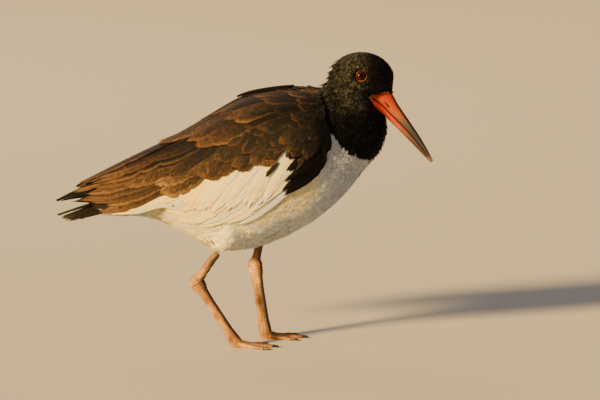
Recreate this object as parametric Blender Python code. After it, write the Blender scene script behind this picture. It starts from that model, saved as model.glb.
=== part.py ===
"""A young oystercatcher at life size, standing on both feet with its bill lowered.

Metres, +Z up. +X is the way the bird faces and +Y is its left side. The origin lies on the floor
under the middle of the bird's box. Sizes in the tables are in millimetres.
"""

import math

import bmesh
import bpy
import numpy as np
from mathutils import Matrix, Vector

# Driving sizes, in millimetres and degrees
MM = 0.001
GAP = 0.35  # clearance between two pieces that meet
FLAT_WITHIN = 2.5  # degrees; faces that bend less than this are made one
WELD = 0.002  # points nearer than this after a cut are one point
RIGHT, LEFT = -1, 1  # sign of Y
BODY_SIDES = 24
EYE_RADIUS = 5.0
EYE_CENTRE = (98.1, 14.0, 231.2)  # y is measured outwards on either side
EYE_LOOK = (0.16, 1.0, 0.10)  # the way the left eye faces
LID_RADIUS, LID_THICKNESS = 4.5, 0.65
NOSTRIL_CENTRE, NOSTRIL_LENGTH, NOSTRIL_HEIGHT = (121.0, 203.6), 6.6, 1.3
NOSTRIL_DEPTH = 0.9
MOUTH_GAP = 0.4
BILL_SLOPE = -51.0  # the bill's axis, below the horizontal
TOE_LENGTHS = {"inner": 24.5, "middle": 31.0, "outer": 27.5}
TOE_HEADINGS = {"inner": -27.0, "middle": 1.0, "outer": 28.0}  # away from the body's middle
CLAW_LENGTH = 5.5
TOE_WIDTH = 4.6

# Sections of the trunk and neck: back x, z, belly x, z, half width, level of the widest point
# as a share of the way from back to belly, squareness (2 is an ellipse)
TRUNK = {
    "tail_root": (-104, 139, -101, 110.5, 17, 0.50, 2.2),
    "vent": (-90, 150, -86, 108.5, 21.5, 0.50, 2.2),
    "rump": (-74, 161, -68, 104, 27.5, 0.50, 2.2),
    "hips": (-52, 174, -47, 92, 35.5, 0.48, 2.2),
    "loins": (-25, 190, -21, 79.5, 42, 0.47, 2.2),
    "belly": (2, 206, 9, 81.8, 46, 0.46, 2.2),
    "ribs": (28, 213, 37, 92.5, 47, 0.46, 2.2),
    "breast": (46, 215.5, 62, 107.5, 45, 0.46, 2.2),
    "shoulders": (58, 216.5, 84, 126.8, 41, 0.45, 2.1),
    "crop": (65, 217.5, 101, 147.5, 36, 0.43, 2.1),
    "neck_base": (68.0, 222.2, 113.6, 162.5, 31.5, 0.42, 2.0),
    "neck_middle": (70.5, 223, 119.8, 177, 27, 0.42, 2.0),
    "throat": (75, 231, 120.8, 187.5, 22.5, 0.42, 2.0),
    "neck_top": (84, 238, 116.2, 195, 17, 0.45, 2.0),
}
TRUNK_ORDER = list(TRUNK)
NECK_CUT = TRUNK_ORDER.index("crop") + 0.5

# The bed that the folded wings lie on: as the trunk over the body, and a roof over the tail behind it
WING_BED = {
    "tip": (-158, 121.5, -157, 109, 5, 0.50, 1.9),
    "primaries": (-140, 131, -137, 104, 16, 0.50, 1.9),
    "tertials": (-120, 142, -116, 96, 23, 0.50, 2.0),
    "elbow_end": (-98, 153.5, -93, 98, 27.5, 0.50, 2.0),
    "rump": (-74, 164.5, -68, 102, 31, 0.50, 2.1),
    **{name: TRUNK[name] for name in TRUNK_ORDER[3:10]},
}
# Where the wing ends below, as a share of the way from back to belly, for each section of the bed
WING_HEM = [0.50, 0.48, 0.565, 0.64, 0.68, 0.72, 0.68, 0.687, 0.672, 0.70, 0.68, 0.62]
# Half the width of the bare strip of back between the wings, for each section of the bed
WING_PARTING = [0.25, 0.25, 0.25, 0.25, 0.25, 0.6, 2.0, 5.0, 8.0, 12.0, 15.0, 17.0]
WING_THICKNESS = [2.2, 2.8, 3.4, 4.0, 4.6, 5.2, 5.6, 5.6, 5.6, 5.4, 4.4, 2.4]
WING_FRONT = 10.2  # section number where the wing slips under the neck feathers
WING_EDGE = 1.3
WING_BODY = 3.6  # section number where the wing comes to lie on the body
WING_SUNK = 1.5  # how far it is made into the body before the body is cut from it
CORE_START, CORE_HEM = 0.8, 0.88  # the slab under the vanes ends here, behind and below

# Feathers
VANE_THICKNESS = 0.6
VANE_RISE = 2.5  # room for the vanes, which the slab leaves under the wing's outer face
VANE_SUNK = 0.7  # how far a root lies in it
VANE_TILT = 1.7  # how much higher the lower edge lies than the upper one
VANE_OUTLINE = {  # share of the length, share of the full width
    "round": ((0.0, 0.35), (0.45, 1.0), (0.82, 0.86), (1.0, 0.34)),
    "long": ((0.0, 0.3), (0.35, 0.95), (0.72, 0.95), (0.92, 0.55), (1.0, 0.16)),
}
# Tiers of each wing, from the lowest: number, first root, last root, first tip, last tip, width,
# how far the tips rise above the slab, and outline. A place is the section of the bed and how far
# down it lies.
TIERS = {
    "primaries": (4, (3.6, 0.42), (4.2, 0.72), (-0.08, 0.30), (0.7, 0.62), 9.0, 0.6, "long"),
    "alula": (3, (9.75, 0.70), (9.55, 0.84), (8.35, 0.86), (8.20, 1.0), 9.5, 1.6, "long"),
    "greater_coverts": (7, (8.35, 0.66), (5.3, 0.68), (7.75, 1.0), (4.25, 0.97), 16.0, 1.3, "round"),
    "outer_tertials": (3, (5.9, 0.44), (6.3, 0.60), (1.0, 0.62), (1.35, 0.98), 13.5, 2.0, "long"),
    "inner_tertials": (3, (6.0, 0.12), (6.2, 0.36), (0.95, 0.14), (1.9, 0.42), 13.0, 2.4, "long"),
    "median_coverts": (6, (9.25, 0.56), (6.3, 0.46), (8.55, 0.81), (5.05, 0.72), 15.5, 2.4, "round"),
    "lesser_coverts": (5, (9.85, 0.40), (7.2, 0.36), (9.15, 0.62), (6.2, 0.54), 15.0, 2.7, "round"),
    "shoulder_coverts": (3, (10.0, 0.66), (10.1, 0.36), (9.45, 0.80), (9.5, 0.44), 11.5, 2.4, "round"),
    "long_scapulars": (3, (6.9, 0.10), (7.4, 0.36), (4.0, 0.09), (5.3, 0.44), 17.5, 3.0, "round"),
    "scapulars": (4, (8.6, 0.08), (8.9, 0.38), (6.3, 0.07), (7.5, 0.47), 14.5, 3.0, "round"),
    "mantle_edge": (3, (9.9, 0.08), (10.1, 0.32), (8.2, 0.07), (8.9, 0.40), 13.0, 3.0, "round"),
}
JITTER = 0.07  # how unevenly the tips lie, as a share of the vane's own length
SEED = 7

# The tail's root and its feathers. Feather 0 is the middle pair, on top, and 5 the outermost.
TAIL_ROOT = [
    (-104, 139, -101, 110.5, 17, 0.50, 2.2),
    (-113, 130.5, -110, 109.8, 17.5, 0.50, 2.3),
    (-122, 121.5, -121, 109.6, 16.0, 0.50, 2.4),
    (-130, 114.5, -130, 109.4, 12.0, 0.50, 2.4),
]
TAIL_PAIRS = 6
TAIL_WIDTH = 13.0
TAIL_TIP_TOP, TAIL_TIP_STEP = (-155.5, 110.4), (0.35, -0.75)  # middle pair, then outwards
TAIL_FAN = (3.0, 2.3)  # y of the middle pair's tips, and how far out each next pair lies

# Sections of the head across the bill's axis: place along the axis, crown side, throat side,
# half width, level of the widest point from the crown side, squareness
HEAD_ORIGIN = (116.0, 206.0)  # middle of the bill's base
HEAD = [
    (-51.0, 1.0, -8.0, 4.0, 0.50, 2.0),
    (-48.8, 7.0, -14.0, 10.0, 0.50, 2.0),
    (-44.0, 14.5, -21.5, 14.6, 0.50, 2.0),
    (-36.0, 21.5, -26.0, 17.3, 0.52, 2.1),
    (-27.0, 24.9, -25.0, 18.0, 0.52, 2.1),
    (-18.5, 25.1, -21.0, 16.2, 0.54, 2.1),
    (-12.5, 23.0, -16.2, 12.6, 0.56, 2.0),
    (-7.5, 18.6, -12.6, 9.0, 0.58, 2.0),
    (-3.5, 14.8, -10.2, 7.0, 0.58, 2.0),
    (0.8, 12.2, -8.6, 5.8, 0.55, 2.0),
]

# The bill: culmen x, z, mouth line x, z, keel x, z, half width
BILL = [
    (125.8, 212.4, 106.7, 211.2, 110.8, 202.2, 7.6),
    (129.4, 205.6, 114.9, 206.0, 115.8, 197.4, 6.7),
    (134.0, 198.6, 121.5, 199.2, 121.4, 192.2, 5.5),
    (140.4, 189.2, 129.5, 191.2, 128.5, 185.2, 4.3),
    (147.7, 178.2, 139.5, 180.9, 138.0, 175.3, 3.3),
    (154.0, 167.5, 148.9, 169.6, 147.5, 165.4, 2.5),
    (158.6, 158.8, 156.2, 160.3, 155.1, 157.6, 1.8),
    (159.8, 155.9, 158.9, 156.4, 158.2, 155.0, 1.0),
]

# Legs: hip, bare top of the shin, hock, foot; x and z from the side, y outwards
LEGS = {
    "right": {
        "side": RIGHT,
        "hip": (-8, 26, 104),
        "shin": (-23, 27, 82.5),
        "hock": (-40.8, 26, 57.0),
        "foot": (-7.5, 22, 4.2),
        "heading": 3.0,
    },
    "left": {
        "side": LEFT,
        "hip": (12, 26, 104),
        "shin": (12, 27, 80),
        "hock": (8.4, 27, 63.5),
        "foot": (17.5, 22, 4.2),
        "heading": 4.0,
    },
}
THIGH_RADII = (15.0, 13.5, 9.0, 5.6)
SHIN_SUNK = 4.0  # how far the shin is made up into the thigh before the thigh is cut from it
SHIN_RADIUS, HOCK_RADIUS, TARSUS_RADII, FOOT_RADIUS = 3.6, 5.6, (3.2, 3.4), 4.5
TARSUS_DEEPER = 1.2  # front to back, against its width

MATERIALS = {  # colour, roughness
    "white_plumage": ((0.82, 0.77, 0.66), 0.9),
    "black_plumage": ((0.03, 0.028, 0.025), 0.8),
    "brown_plumage": ((0.20, 0.115, 0.055), 0.75),
    "tail_plumage": ((0.05, 0.04, 0.03), 0.75),
    "bill_horn": ((0.80, 0.16, 0.03), 0.4),
    "leg_skin": ((0.55, 0.30, 0.19), 0.6),
    "claw_horn": ((0.05, 0.035, 0.03), 0.4),
    "eye_ring_skin": ((0.72, 0.13, 0.03), 0.5),
    "eye": ((0.06, 0.015, 0.01), 0.1),
}


def clear_scene():
    for old in list(bpy.data.objects):
        bpy.data.objects.remove(old, do_unlink=True)


def make_material(name):
    colour, roughness = MATERIALS[name]
    material = bpy.data.materials.new(name)
    material.use_nodes = True
    shader = material.node_tree.nodes["Principled BSDF"]
    shader.inputs["Base Color"].default_value = (*colour, 1.0)
    shader.inputs["Roughness"].default_value = roughness
    return material


# Smooth tables and section rings


def at(rows, place):
    """The row of a table at a fractional row number, on a smooth curve through the rows."""
    rows = [np.atleast_1d(np.array(row, float)) for row in rows]
    index = min(max(int(math.floor(place)), 0), len(rows) - 2)
    t = place - index
    a, b, c, d = (rows[min(max(index + k, 0), len(rows) - 1)] for k in (-1, 0, 1, 2))
    bend = (2 * a - 5 * b + 4 * c - d) * t * t + (3 * b - a - 3 * c + d) * t**3
    return 0.5 * (2 * b + (c - a) * t + bend)


def ring_point(section, angle):
    """A point of a section. The angle runs from the back (0) over the left flank to the belly."""
    top_x, top_z, low_x, low_z, half_width, level, square = section
    top, low = np.array((top_x, 0, top_z)), np.array((low_x, 0, low_z))
    centre = top + (low - top) * level
    reach = top - centre if math.cos(angle) >= 0 else low - centre
    rise = abs(math.cos(angle)) ** (2 / square)
    spread = math.copysign(abs(math.sin(angle)) ** (2 / square), math.sin(angle))
    return centre + reach * rise + np.array((0, half_width * spread, 0))


def surface_frame(point, u, v, step=0.02):
    """A point of a surface and its unit normal, from the surface's own function."""
    along = point(u + step, v) - point(u - step, v)
    across = point(u, v + step) - point(u, v - step)
    normal = np.cross(along, across)
    return point(u, v), normal / max(np.linalg.norm(normal), 1e-9)


def mesh_object(name, points, faces, material=None):
    """A mesh object from points in millimetres, with its faces turned outwards."""
    mesh = bpy.data.meshes.new(name)
    mesh.from_pydata([tuple(np.array(p) * MM) for p in points], [], faces)
    made = bmesh.new()
    made.from_mesh(mesh)
    bmesh.ops.recalc_face_normals(made, faces=made.faces)
    bmesh.ops.triangulate(made, faces=made.faces, quad_method="FIXED")
    made.to_mesh(mesh)
    made.free()
    obj = bpy.data.objects.new(name, mesh)
    parts.objects.link(obj)
    if material:
        mesh.materials.append(make_material(material))
    return obj


def skin_rings(name, rings, material=None):
    """A closed body over a row of rings with as many points each, capped flat at both ends."""
    count = len(rings[0])
    points = [p for ring in rings for p in ring]
    faces = []
    for r in range(len(rings) - 1):
        for k in range(count):
            a, b = r * count + k, r * count + (k + 1) % count
            faces.append((a, b, b + count, a + count))
    faces.append(tuple(range(count)))
    faces.append(tuple(range(len(points) - count, len(points))))
    return mesh_object(name, points, faces, material)


def loft(name, table, places, sides, material=None, swell=0.0):
    """A closed body through a table's sections at the given row numbers, grown by swell."""
    rings = []
    for place in places:
        row = at(table, place).copy()
        if swell:
            axis = np.array((row[0] - row[2], row[1] - row[3]))
            axis /= np.linalg.norm(axis)
            row[0:2] += axis * swell
            row[2:4] -= axis * swell
            row[4] += swell
        rings.append([ring_point(row, 2 * math.pi * k / sides) for k in range(sides)])
    return skin_rings(name, rings, material)


def tube(name, path, radii, sides, material=None, flatten=1.0):
    """A closed tube round a path of points, with one radius a point."""
    rings = []
    for i, centre in enumerate(path):
        ahead, behind = path[min(i + 1, len(path) - 1)], path[max(i - 1, 0)]
        axis = Vector(ahead) - Vector(behind)
        side = axis.cross(Vector((0, 0, 1)))
        side = side.normalized() if side.length > 1e-6 else Vector((0, 1, 0))
        up = side.cross(axis).normalized()
        ring = []
        for k in range(sides):
            turn = 2 * math.pi * k / sides
            offset = side * math.cos(turn) + up * (math.sin(turn) * flatten)
            ring.append(np.array(Vector(centre) + offset * radii[i]))
        rings.append(ring)
    return skin_rings(name, rings, material)


# Cutting and joining


def apply_modifiers(obj):
    graph = bpy.context.evaluated_depsgraph_get()
    mesh = bpy.data.meshes.new_from_object(obj.evaluated_get(graph))
    obj.modifiers.clear()
    obj.data = mesh


def keep_largest(obj):
    """Drops every closed surface of the object but its largest."""
    mesh = bmesh.new()
    mesh.from_mesh(obj.data)
    bmesh.ops.remove_doubles(mesh, verts=mesh.verts, dist=WELD * MM)
    bmesh.ops.dissolve_degenerate(mesh, edges=mesh.edges, dist=WELD * MM)
    groups, seen = [], set()
    for start in mesh.faces:
        if start in seen:
            continue
        group, todo = [], [start]
        seen.add(start)
        while todo:
            face = todo.pop()
            group.append(face)
            for other in (f for edge in face.edges for f in edge.link_faces):
                if other not in seen:
                    seen.add(other)
                    todo.append(other)
        groups.append(group)
    groups.sort(key=lambda group: sum(face.calc_area() for face in group))
    loose = [face for group in groups[:-1] for face in group]
    bmesh.ops.delete(mesh, geom=loose, context="FACES")
    mesh.to_mesh(obj.data)
    mesh.free()


def boolean(obj, others, operation, solver="EXACT"):
    """Applies one Boolean with each of the other closed meshes and removes them."""
    for other in others:
        cut = obj.modifiers.new("cut", "BOOLEAN")
        cut.operation, cut.object, cut.solver = operation, other, solver
    apply_modifiers(obj)
    for other in others:
        bpy.data.objects.remove(other, do_unlink=True)
    keep_largest(obj)
    return obj


def fuse(obj, pieces):
    """Joins closed meshes to the object in one union and removes them."""
    group = bpy.data.collections.new("vanes")
    for piece in pieces:
        group.objects.link(piece)
    join = obj.modifiers.new("join", "BOOLEAN")
    join.operation, join.operand_type, join.collection = "UNION", "COLLECTION", group
    join.solver = "EXACT"
    join.use_self = True
    apply_modifiers(obj)
    for piece in pieces:
        bpy.data.objects.remove(piece, do_unlink=True)
    bpy.data.collections.remove(group)
    keep_largest(obj)
    return obj


def thin_out(obj):
    """Merges faces that lie almost in one plane, and splits them again into as few triangles."""
    mesh = bmesh.new()
    mesh.from_mesh(obj.data)
    flat = math.radians(FLAT_WITHIN)
    bmesh.ops.dissolve_limit(mesh, angle_limit=flat, verts=mesh.verts, edges=mesh.edges)
    bmesh.ops.triangulate(mesh, faces=mesh.faces)
    mesh.to_mesh(obj.data)
    mesh.free()
    return obj


def slice_off(obj, point, normal):
    """Cuts away what lies on the normal's side of a plane and closes the cut."""
    mesh = bmesh.new()
    mesh.from_mesh(obj.data)
    cut = bmesh.ops.bisect_plane(
        mesh,
        geom=mesh.verts[:] + mesh.edges[:] + mesh.faces[:],
        dist=1e-7,
        plane_co=Vector(point) * MM,
        plane_no=Vector(normal),
        clear_outer=True,
    )
    rim = [item for item in cut["geom_cut"] if isinstance(item, bmesh.types.BMEdge)]
    bmesh.ops.edgeloop_fill(mesh, edges=rim)
    bmesh.ops.recalc_face_normals(mesh, faces=mesh.faces)
    mesh.to_mesh(obj.data)
    mesh.free()
    return obj


# Trunk, neck and head


def steps(start, end, count):
    return list(np.linspace(start, end, count))


def trunk_rows():
    return list(TRUNK.values())


def make_torso(name="torso", swell=0.0):
    return loft(name, trunk_rows(), steps(0, NECK_CUT, 19), BODY_SIDES, "white_plumage", swell)


def section_plane(row):
    """The plane that a section lies in: its highest point, and its normal towards the head."""
    line = Vector((row[0] - row[2], 0, row[1] - row[3])).normalized()
    return Vector((row[0], 0, row[1])), line.cross(Vector((0, 1, 0))) * -1


def make_neck():
    point, ahead = section_plane(at(trunk_rows(), NECK_CUT))
    last = len(TRUNK) - 1
    neck = loft("neck", trunk_rows(), steps(NECK_CUT, last, 9), BODY_SIDES, "black_plumage")
    slice_off(neck, point + ahead * GAP, -ahead)
    return boolean(neck, [make_head("head_cutter", GAP)], "DIFFERENCE")


def head_to_side(along, across):
    """Side view place of a point given along and across the bill's axis."""
    slope = math.radians(BILL_SLOPE)
    x = HEAD_ORIGIN[0] + along * math.cos(slope) - across * math.sin(slope)
    z = HEAD_ORIGIN[1] + along * math.sin(slope) + across * math.cos(slope)
    return x, z


def head_rows():
    rows = []
    for along, crown, throat, half_width, level, square in HEAD:
        top, low = head_to_side(along, crown), head_to_side(along, throat)
        rows.append((*top, *low, half_width, level, square))
    return rows


def make_head(name="head", swell=0.0):
    rows = head_rows()
    return loft(name, rows, steps(0, len(rows) - 1, 17), BODY_SIDES, "black_plumage", swell)


def bill_rows(part):
    """Sections of the upper or lower half of the bill, from its base to its tip."""
    rows = []
    for culmen_x, culmen_z, mouth_x, mouth_z, keel_x, keel_z, half_width in BILL:
        culmen, mouth = np.array((culmen_x, culmen_z)), np.array((mouth_x, mouth_z))
        keel = np.array((keel_x, keel_z))
        if part == "upper":
            towards = (culmen - mouth) / np.linalg.norm(culmen - mouth)
            rows.append((*culmen, *(mouth + towards * MOUTH_GAP / 2), half_width, 0.80, 2.0))
        elif part == "lower":
            towards = (keel - mouth) / np.linalg.norm(keel - mouth)
            rows.append((*(mouth + towards * MOUTH_GAP / 2), *keel, half_width * 0.94, 0.20, 2.0))
    return rows


def make_bill(part, name, swell=0.0):
    rows = bill_rows(part)
    return loft(name, rows, steps(0, len(rows) - 1, 11), 12, "bill_horn", swell)


def nostril_cutter(side):
    bpy.ops.mesh.primitive_uv_sphere_add(segments=10, ring_count=6, radius=1.0)
    cutter = bpy.context.object
    cutter.scale = Vector((NOSTRIL_LENGTH / 2, 2 * NOSTRIL_DEPTH, NOSTRIL_HEIGHT / 2)) * MM
    cutter.rotation_euler = (0, -math.radians(BILL_SLOPE), 0)
    out = bill_half_width(NOSTRIL_CENTRE[0])
    cutter.location = Vector((NOSTRIL_CENTRE[0], side * out, NOSTRIL_CENTRE[1])) * MM
    bpy.ops.object.transform_apply(location=True, rotation=True, scale=True)
    return cutter


def bill_half_width(mouth_x):
    """Half width of the bill where its mouth line has this x."""
    places = [row[2] for row in BILL]
    return float(np.interp(mouth_x, places, [row[6] for row in BILL]))


# Eyes


def eye_axis(side):
    return Vector((EYE_LOOK[0], side * EYE_LOOK[1], EYE_LOOK[2])).normalized()


def eye_centre(side):
    return Vector((EYE_CENTRE[0], side * EYE_CENTRE[1], EYE_CENTRE[2]))


def lid_distance():
    """How far out from the eye's centre its ring lies, so that the two stay a gap apart."""
    clear = EYE_RADIUS + LID_THICKNESS + GAP
    return math.sqrt(clear**2 - LID_RADIUS**2) + 0.05


def make_eye(side, name, swell=0.0):
    bpy.ops.mesh.primitive_uv_sphere_add(
        segments=12, ring_count=8, radius=(EYE_RADIUS + swell) * MM, location=eye_centre(side) * MM
    )
    eye = bpy.context.object
    eye.rotation_euler = eye_axis(side).to_track_quat("Z", "Y").to_euler()
    return finish_primitive(eye, name, "eye")


def make_lid(side, name, swell=0.0):
    centre = eye_centre(side) + eye_axis(side) * lid_distance()
    bpy.ops.mesh.primitive_torus_add(
        major_segments=16,
        minor_segments=5,
        major_radius=LID_RADIUS * MM,
        minor_radius=(LID_THICKNESS + swell) * MM,
        location=centre * MM,
    )
    lid = bpy.context.object
    lid.rotation_euler = eye_axis(side).to_track_quat("Z", "Y").to_euler()
    return finish_primitive(lid, name, "eye_ring_skin")


def finish_primitive(obj, name, material):
    """Names a primitive, puts it with the parts, freezes its place and gives it its material."""
    bpy.ops.object.transform_apply(location=True, rotation=True, scale=True)
    obj.name = obj.data.name = name
    for owner in list(obj.users_collection):
        owner.objects.unlink(obj)
    parts.objects.link(obj)
    obj.data.materials.append(make_material(material))
    return obj


# Wings


def hem_angle(section, share):
    """The ring angle that lies this share of the way from back to belly."""
    level, square = section[5], section[6]
    if share <= level:
        return math.acos(((level - share) / level) ** (square / 2))
    return math.pi - math.acos(((share - level) / (1 - level)) ** (square / 2))


def parting_angle(section, half_gap):
    """The ring angle that lies half_gap out from the middle of the back."""
    return math.asin(min(1.0, (half_gap / section[4]) ** (section[6] / 2)))


def wing_bed(place, down):
    """A point of the left side's bed: down runs from the parting (0) to the wing's hem (1)."""
    section = at(list(WING_BED.values()), place)
    top = parting_angle(section, float(at(WING_PARTING, place)[0]))
    low = hem_angle(section, float(at(WING_HEM, place)[0]))
    return ring_point(section, top + (low - top) * down)


def core_thickness(place, down):
    """Thickness of the slab that carries the vanes, rounded off to its edges."""
    total = float(at(WING_THICKNESS, min(max(place, 0), WING_FRONT))[0])
    front = min(1.0, max(0.0, (WING_FRONT - place) / 0.8))
    hem = min(1.0, max(0.0, (CORE_HEM - down) / 0.16))
    parting = min(1.0, max(0.0, down / 0.10)) if place > 4.5 else 1.0
    rounding = math.prod(math.sqrt(1 - (1 - share) ** 2) for share in (front, hem, parting))
    return WING_EDGE + max(total - VANE_RISE - WING_EDGE, 0) * rounding


def wing_point(place, down, lift):
    """A point over the left bed, lifted along its normal from the slab's outer face."""
    point, normal = surface_frame(wing_bed, place, down)
    return point + normal * (GAP + core_thickness(place, down) + lift)


def vane(rows, thickness=VANE_THICKNESS):
    """A feather's vane: rows from root to tip of three points on top and the normal there."""
    points, faces = [], []
    for left, middle, right, normal in rows:
        points += [left, middle, right]
        points += [p - np.array(normal) * thickness for p in (left, middle, right)]
    for r in range(len(rows) - 1):
        for k in (0, 1, 3, 4):
            a, b = 6 * r + k, 6 * r + k + 1
            faces += [(a, b, b + 6), (a, b + 6, a + 6)]
        for a, b in ((6 * r, 6 * r + 3), (6 * r + 2, 6 * r + 5)):
            faces += [(a, b, b + 6), (a, b + 6, a + 6)]
    for end in (0, 6 * (len(rows) - 1)):
        for k in (0, 1):
            a, b = end + k, end + k + 1
            faces += [(a, b, b + 3), (a, b + 3, a + 3)]
    return mesh_object("vane", points, faces)


def wing_vane(root, tip, width, rise, outline, side):
    """A vane over the wing, from its root in the slab to its tip."""
    rows = []
    step = 0.02
    root, tip = np.array(root), np.array(tip)
    for share, width_share in VANE_OUTLINE[outline]:
        place, down = root + (tip - root) * share
        lift = -VANE_SUNK + (rise + VANE_SUNK) * share
        here, normal = surface_frame(wing_bed, place, down)
        along_place = (wing_bed(place + step, down) - here) / step
        along_down = (wing_bed(place, down + step) - here) / step
        heading = along_place * (tip - root)[0] + along_down * (tip - root)[1]
        across = np.cross(heading / np.linalg.norm(heading), normal)
        moves = np.linalg.lstsq(np.array((along_place, along_down)).T, across, rcond=None)[0]
        row = []
        for edge in (-0.5, 0.0, 0.5):
            move = moves * width * width_share * edge
            tilt = VANE_TILT * width_share * edge
            spot = wing_point(place + move[0], max(down + move[1], 0.015), lift + tilt)
            row.append(np.array((spot[0], side * max(spot[1], GAP), spot[2])))
        rows.append((*row, np.array((normal[0], side * normal[1], normal[2]))))
    return vane(rows)


def tier_vanes(tier, side, random):
    count, root_a, root_b, tip_a, tip_b, width, rise, outline = TIERS[tier]
    vanes = []
    for i in range(count):
        share = i / (count - 1)
        root = np.array(root_a) + (np.array(root_b) - root_a) * share
        tip = np.array(tip_a) + (np.array(tip_b) - tip_a) * share
        tip += (tip - root) * random.uniform(-JITTER, 0)
        wide = width * random.uniform(0.95, 1.04)
        vanes.append(wing_vane(root, tip, wide, rise, outline, side))
    return vanes


def make_wing(name, side):
    """A folded wing: vanes in tiers on one slab that lies on the body."""
    places = steps(CORE_START, 9.2, 10) + [9.8, WING_FRONT]
    downs = [share * CORE_HEM for share in (0.0, 0.08, 0.24, 0.42, 0.60, 0.78, 0.92, 1.0)]
    rings = []
    for place in places:
        outer = [wing_point(place, d, 0) for d in downs]
        under = 0.0 if place < WING_BODY else -WING_SUNK - GAP
        inner = [wing_point(place, d, under - core_thickness(place, d)) for d in reversed(downs)]
        ring = outer + inner
        rings.append([np.array((p[0], side * max(p[1], GAP / 2), p[2])) for p in ring])
    wing = skin_rings(name, rings, "brown_plumage")
    random = np.random.default_rng(SEED + side)
    vanes = [made for tier in TIERS for made in tier_vanes(tier, side, random)]
    thin_out(fuse(wing, vanes))
    return boolean(wing, [make_torso("torso_cutter", GAP)], "DIFFERENCE")


def tail_vane(pair, side):
    """A tail feather, from deep in the tail's root to its rounded tip."""
    root = np.array((-106.0, side * (2.0 + 1.6 * pair), 127.0 - 2.6 * pair))
    tip_x, tip_z = np.array(TAIL_TIP_TOP) + np.array(TAIL_TIP_STEP) * pair
    tip = np.array((tip_x, side * (TAIL_FAN[0] + TAIL_FAN[1] * pair), tip_z))
    rows = []
    for share, width_share in VANE_OUTLINE["round"]:
        middle = root + (tip - root) * share
        half = TAIL_WIDTH * width_share / 2
        inner = middle + np.array((0, -side * half, 0.15 * half))
        outer = middle + np.array((0, side * half, -0.15 * half))
        if side * inner[1] < GAP:
            inner[1] = side * GAP
        rows.append((inner, middle, outer, (0, 0, 1)))
    return vane(rows)


def make_tail():
    """Twelve feathers fused at their roots, folded over each other, the middle pair on top."""
    last = len(TAIL_ROOT) - 1
    tail = loft("tail", TAIL_ROOT, steps(0, last, 8), 16, "tail_plumage")
    fuse(tail, [tail_vane(pair, side) for side in (RIGHT, LEFT) for pair in range(TAIL_PAIRS)])
    thin_out(tail)
    point, ahead = section_plane(TAIL_ROOT[0])
    return slice_off(tail, point - ahead * GAP, ahead)


# Legs


def leg_point(leg, name):
    x, y, z = leg[name]
    return Vector((x, leg["side"] * y, z))


def between(a, b, shares):
    return [a.lerp(b, share) for share in shares]


def thigh_tube(name, leg, swell=0.0):
    hip, shin = leg_point(leg, "hip"), leg_point(leg, "shin")
    path = between(hip, shin, (0.0, 0.35, 0.75, 1.0))
    path[-1] += (shin - hip).normalized() * swell
    radii = [radius + swell for radius in THIGH_RADII]
    return tube(name, path, radii, 12, "white_plumage", 0.8)


def make_thigh(which, leg):
    thigh = thigh_tube(f"thigh_{which}", leg)
    return boolean(thigh, [make_torso("torso_cutter", GAP)], "DIFFERENCE")


def make_shin(which, leg):
    shin, hock = leg_point(leg, "shin"), leg_point(leg, "hock")
    along = (hock - shin).normalized()
    path = between(shin - along * SHIN_SUNK, hock, (0.0, 0.5, 0.85, 1.0))
    radii = (SHIN_RADIUS, SHIN_RADIUS * 0.95, SHIN_RADIUS * 1.15, SHIN_RADIUS * 1.2)
    shin_tube = tube(f"shin_{which}", path, radii, 10, "leg_skin")
    cutters = [thigh_tube("thigh_cutter", leg, GAP), make_tarsus("tarsus_cutter", leg, GAP)]
    return boolean(shin_tube, cutters, "DIFFERENCE")


def make_tarsus(name, leg, swell=0.0):
    """Hock, tarsus and the ball of the foot, standing flat on the floor."""
    hock, foot = leg_point(leg, "hock"), leg_point(leg, "foot")
    along = (foot - hock).normalized()
    reach = (foot - hock).length
    stops = [
        (-HOCK_RADIUS, 0.35),
        (-HOCK_RADIUS * 0.7, 0.78),
        (0.0, 1.0),
        (HOCK_RADIUS, 0.88),
        (HOCK_RADIUS * 1.9, 0.64),
    ]
    path = [hock + along * place for place, _ in stops]
    radii = [HOCK_RADIUS * share for _, share in stops]
    path += [hock + along * reach * share for share in (0.34, 0.8)]
    radii += [TARSUS_RADII[0], TARSUS_RADII[1]]
    path += [foot, foot + along * FOOT_RADIUS * 1.1]
    radii += [FOOT_RADIUS, FOOT_RADIUS * 0.85]
    tarsus = tube(name, path, [r + swell for r in radii], 11, "leg_skin", TARSUS_DEEPER)
    return slice_off(tarsus, (0, 0, -swell), (0, 0, -1))


def toe_direction(leg, toe):
    heading = math.radians(leg["heading"] + TOE_HEADINGS[toe])
    return Vector((math.cos(heading), leg["side"] * math.sin(heading), 0))


def toe_tube(name, leg, toe, swell=0.0):
    """A toe with its pads, from the middle of the foot's ball to its claw."""
    foot = leg_point(leg, "foot")
    ahead, length = toe_direction(leg, toe), TOE_LENGTHS[toe]
    half = TOE_WIDTH / 2
    path, radii = [], []
    for share, height, size in (
        (0.0, 1.35, 1.55),
        (0.2, 1.15, 1.40),
        (0.38, 0.85, 1.05),
        (0.52, 0.70, 0.96),
        (0.68, 0.62, 0.78),
        (0.84, 0.60, 0.86),
        (1.0, 0.58, 0.62),
    ):
        spot = foot + ahead * (length * share)
        path.append(Vector((spot.x, spot.y, half * height)))
        radii.append(half * size + swell)
    return tube(name, path, radii, 8, "leg_skin")


def make_toe(which, leg, toe):
    """A toe, flat underneath, that meets the foot's ball and, at its base, the middle toe."""
    made = toe_tube(f"toe_{toe}_{which}", leg, toe)
    slice_off(made, (0, 0, 0), (0, 0, -1))
    cutters = [make_tarsus("tarsus_cutter", leg, GAP)]
    if toe != "middle":
        cutters.append(toe_tube("toe_cutter", leg, "middle", GAP))
    return boolean(made, cutters, "DIFFERENCE")


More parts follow.
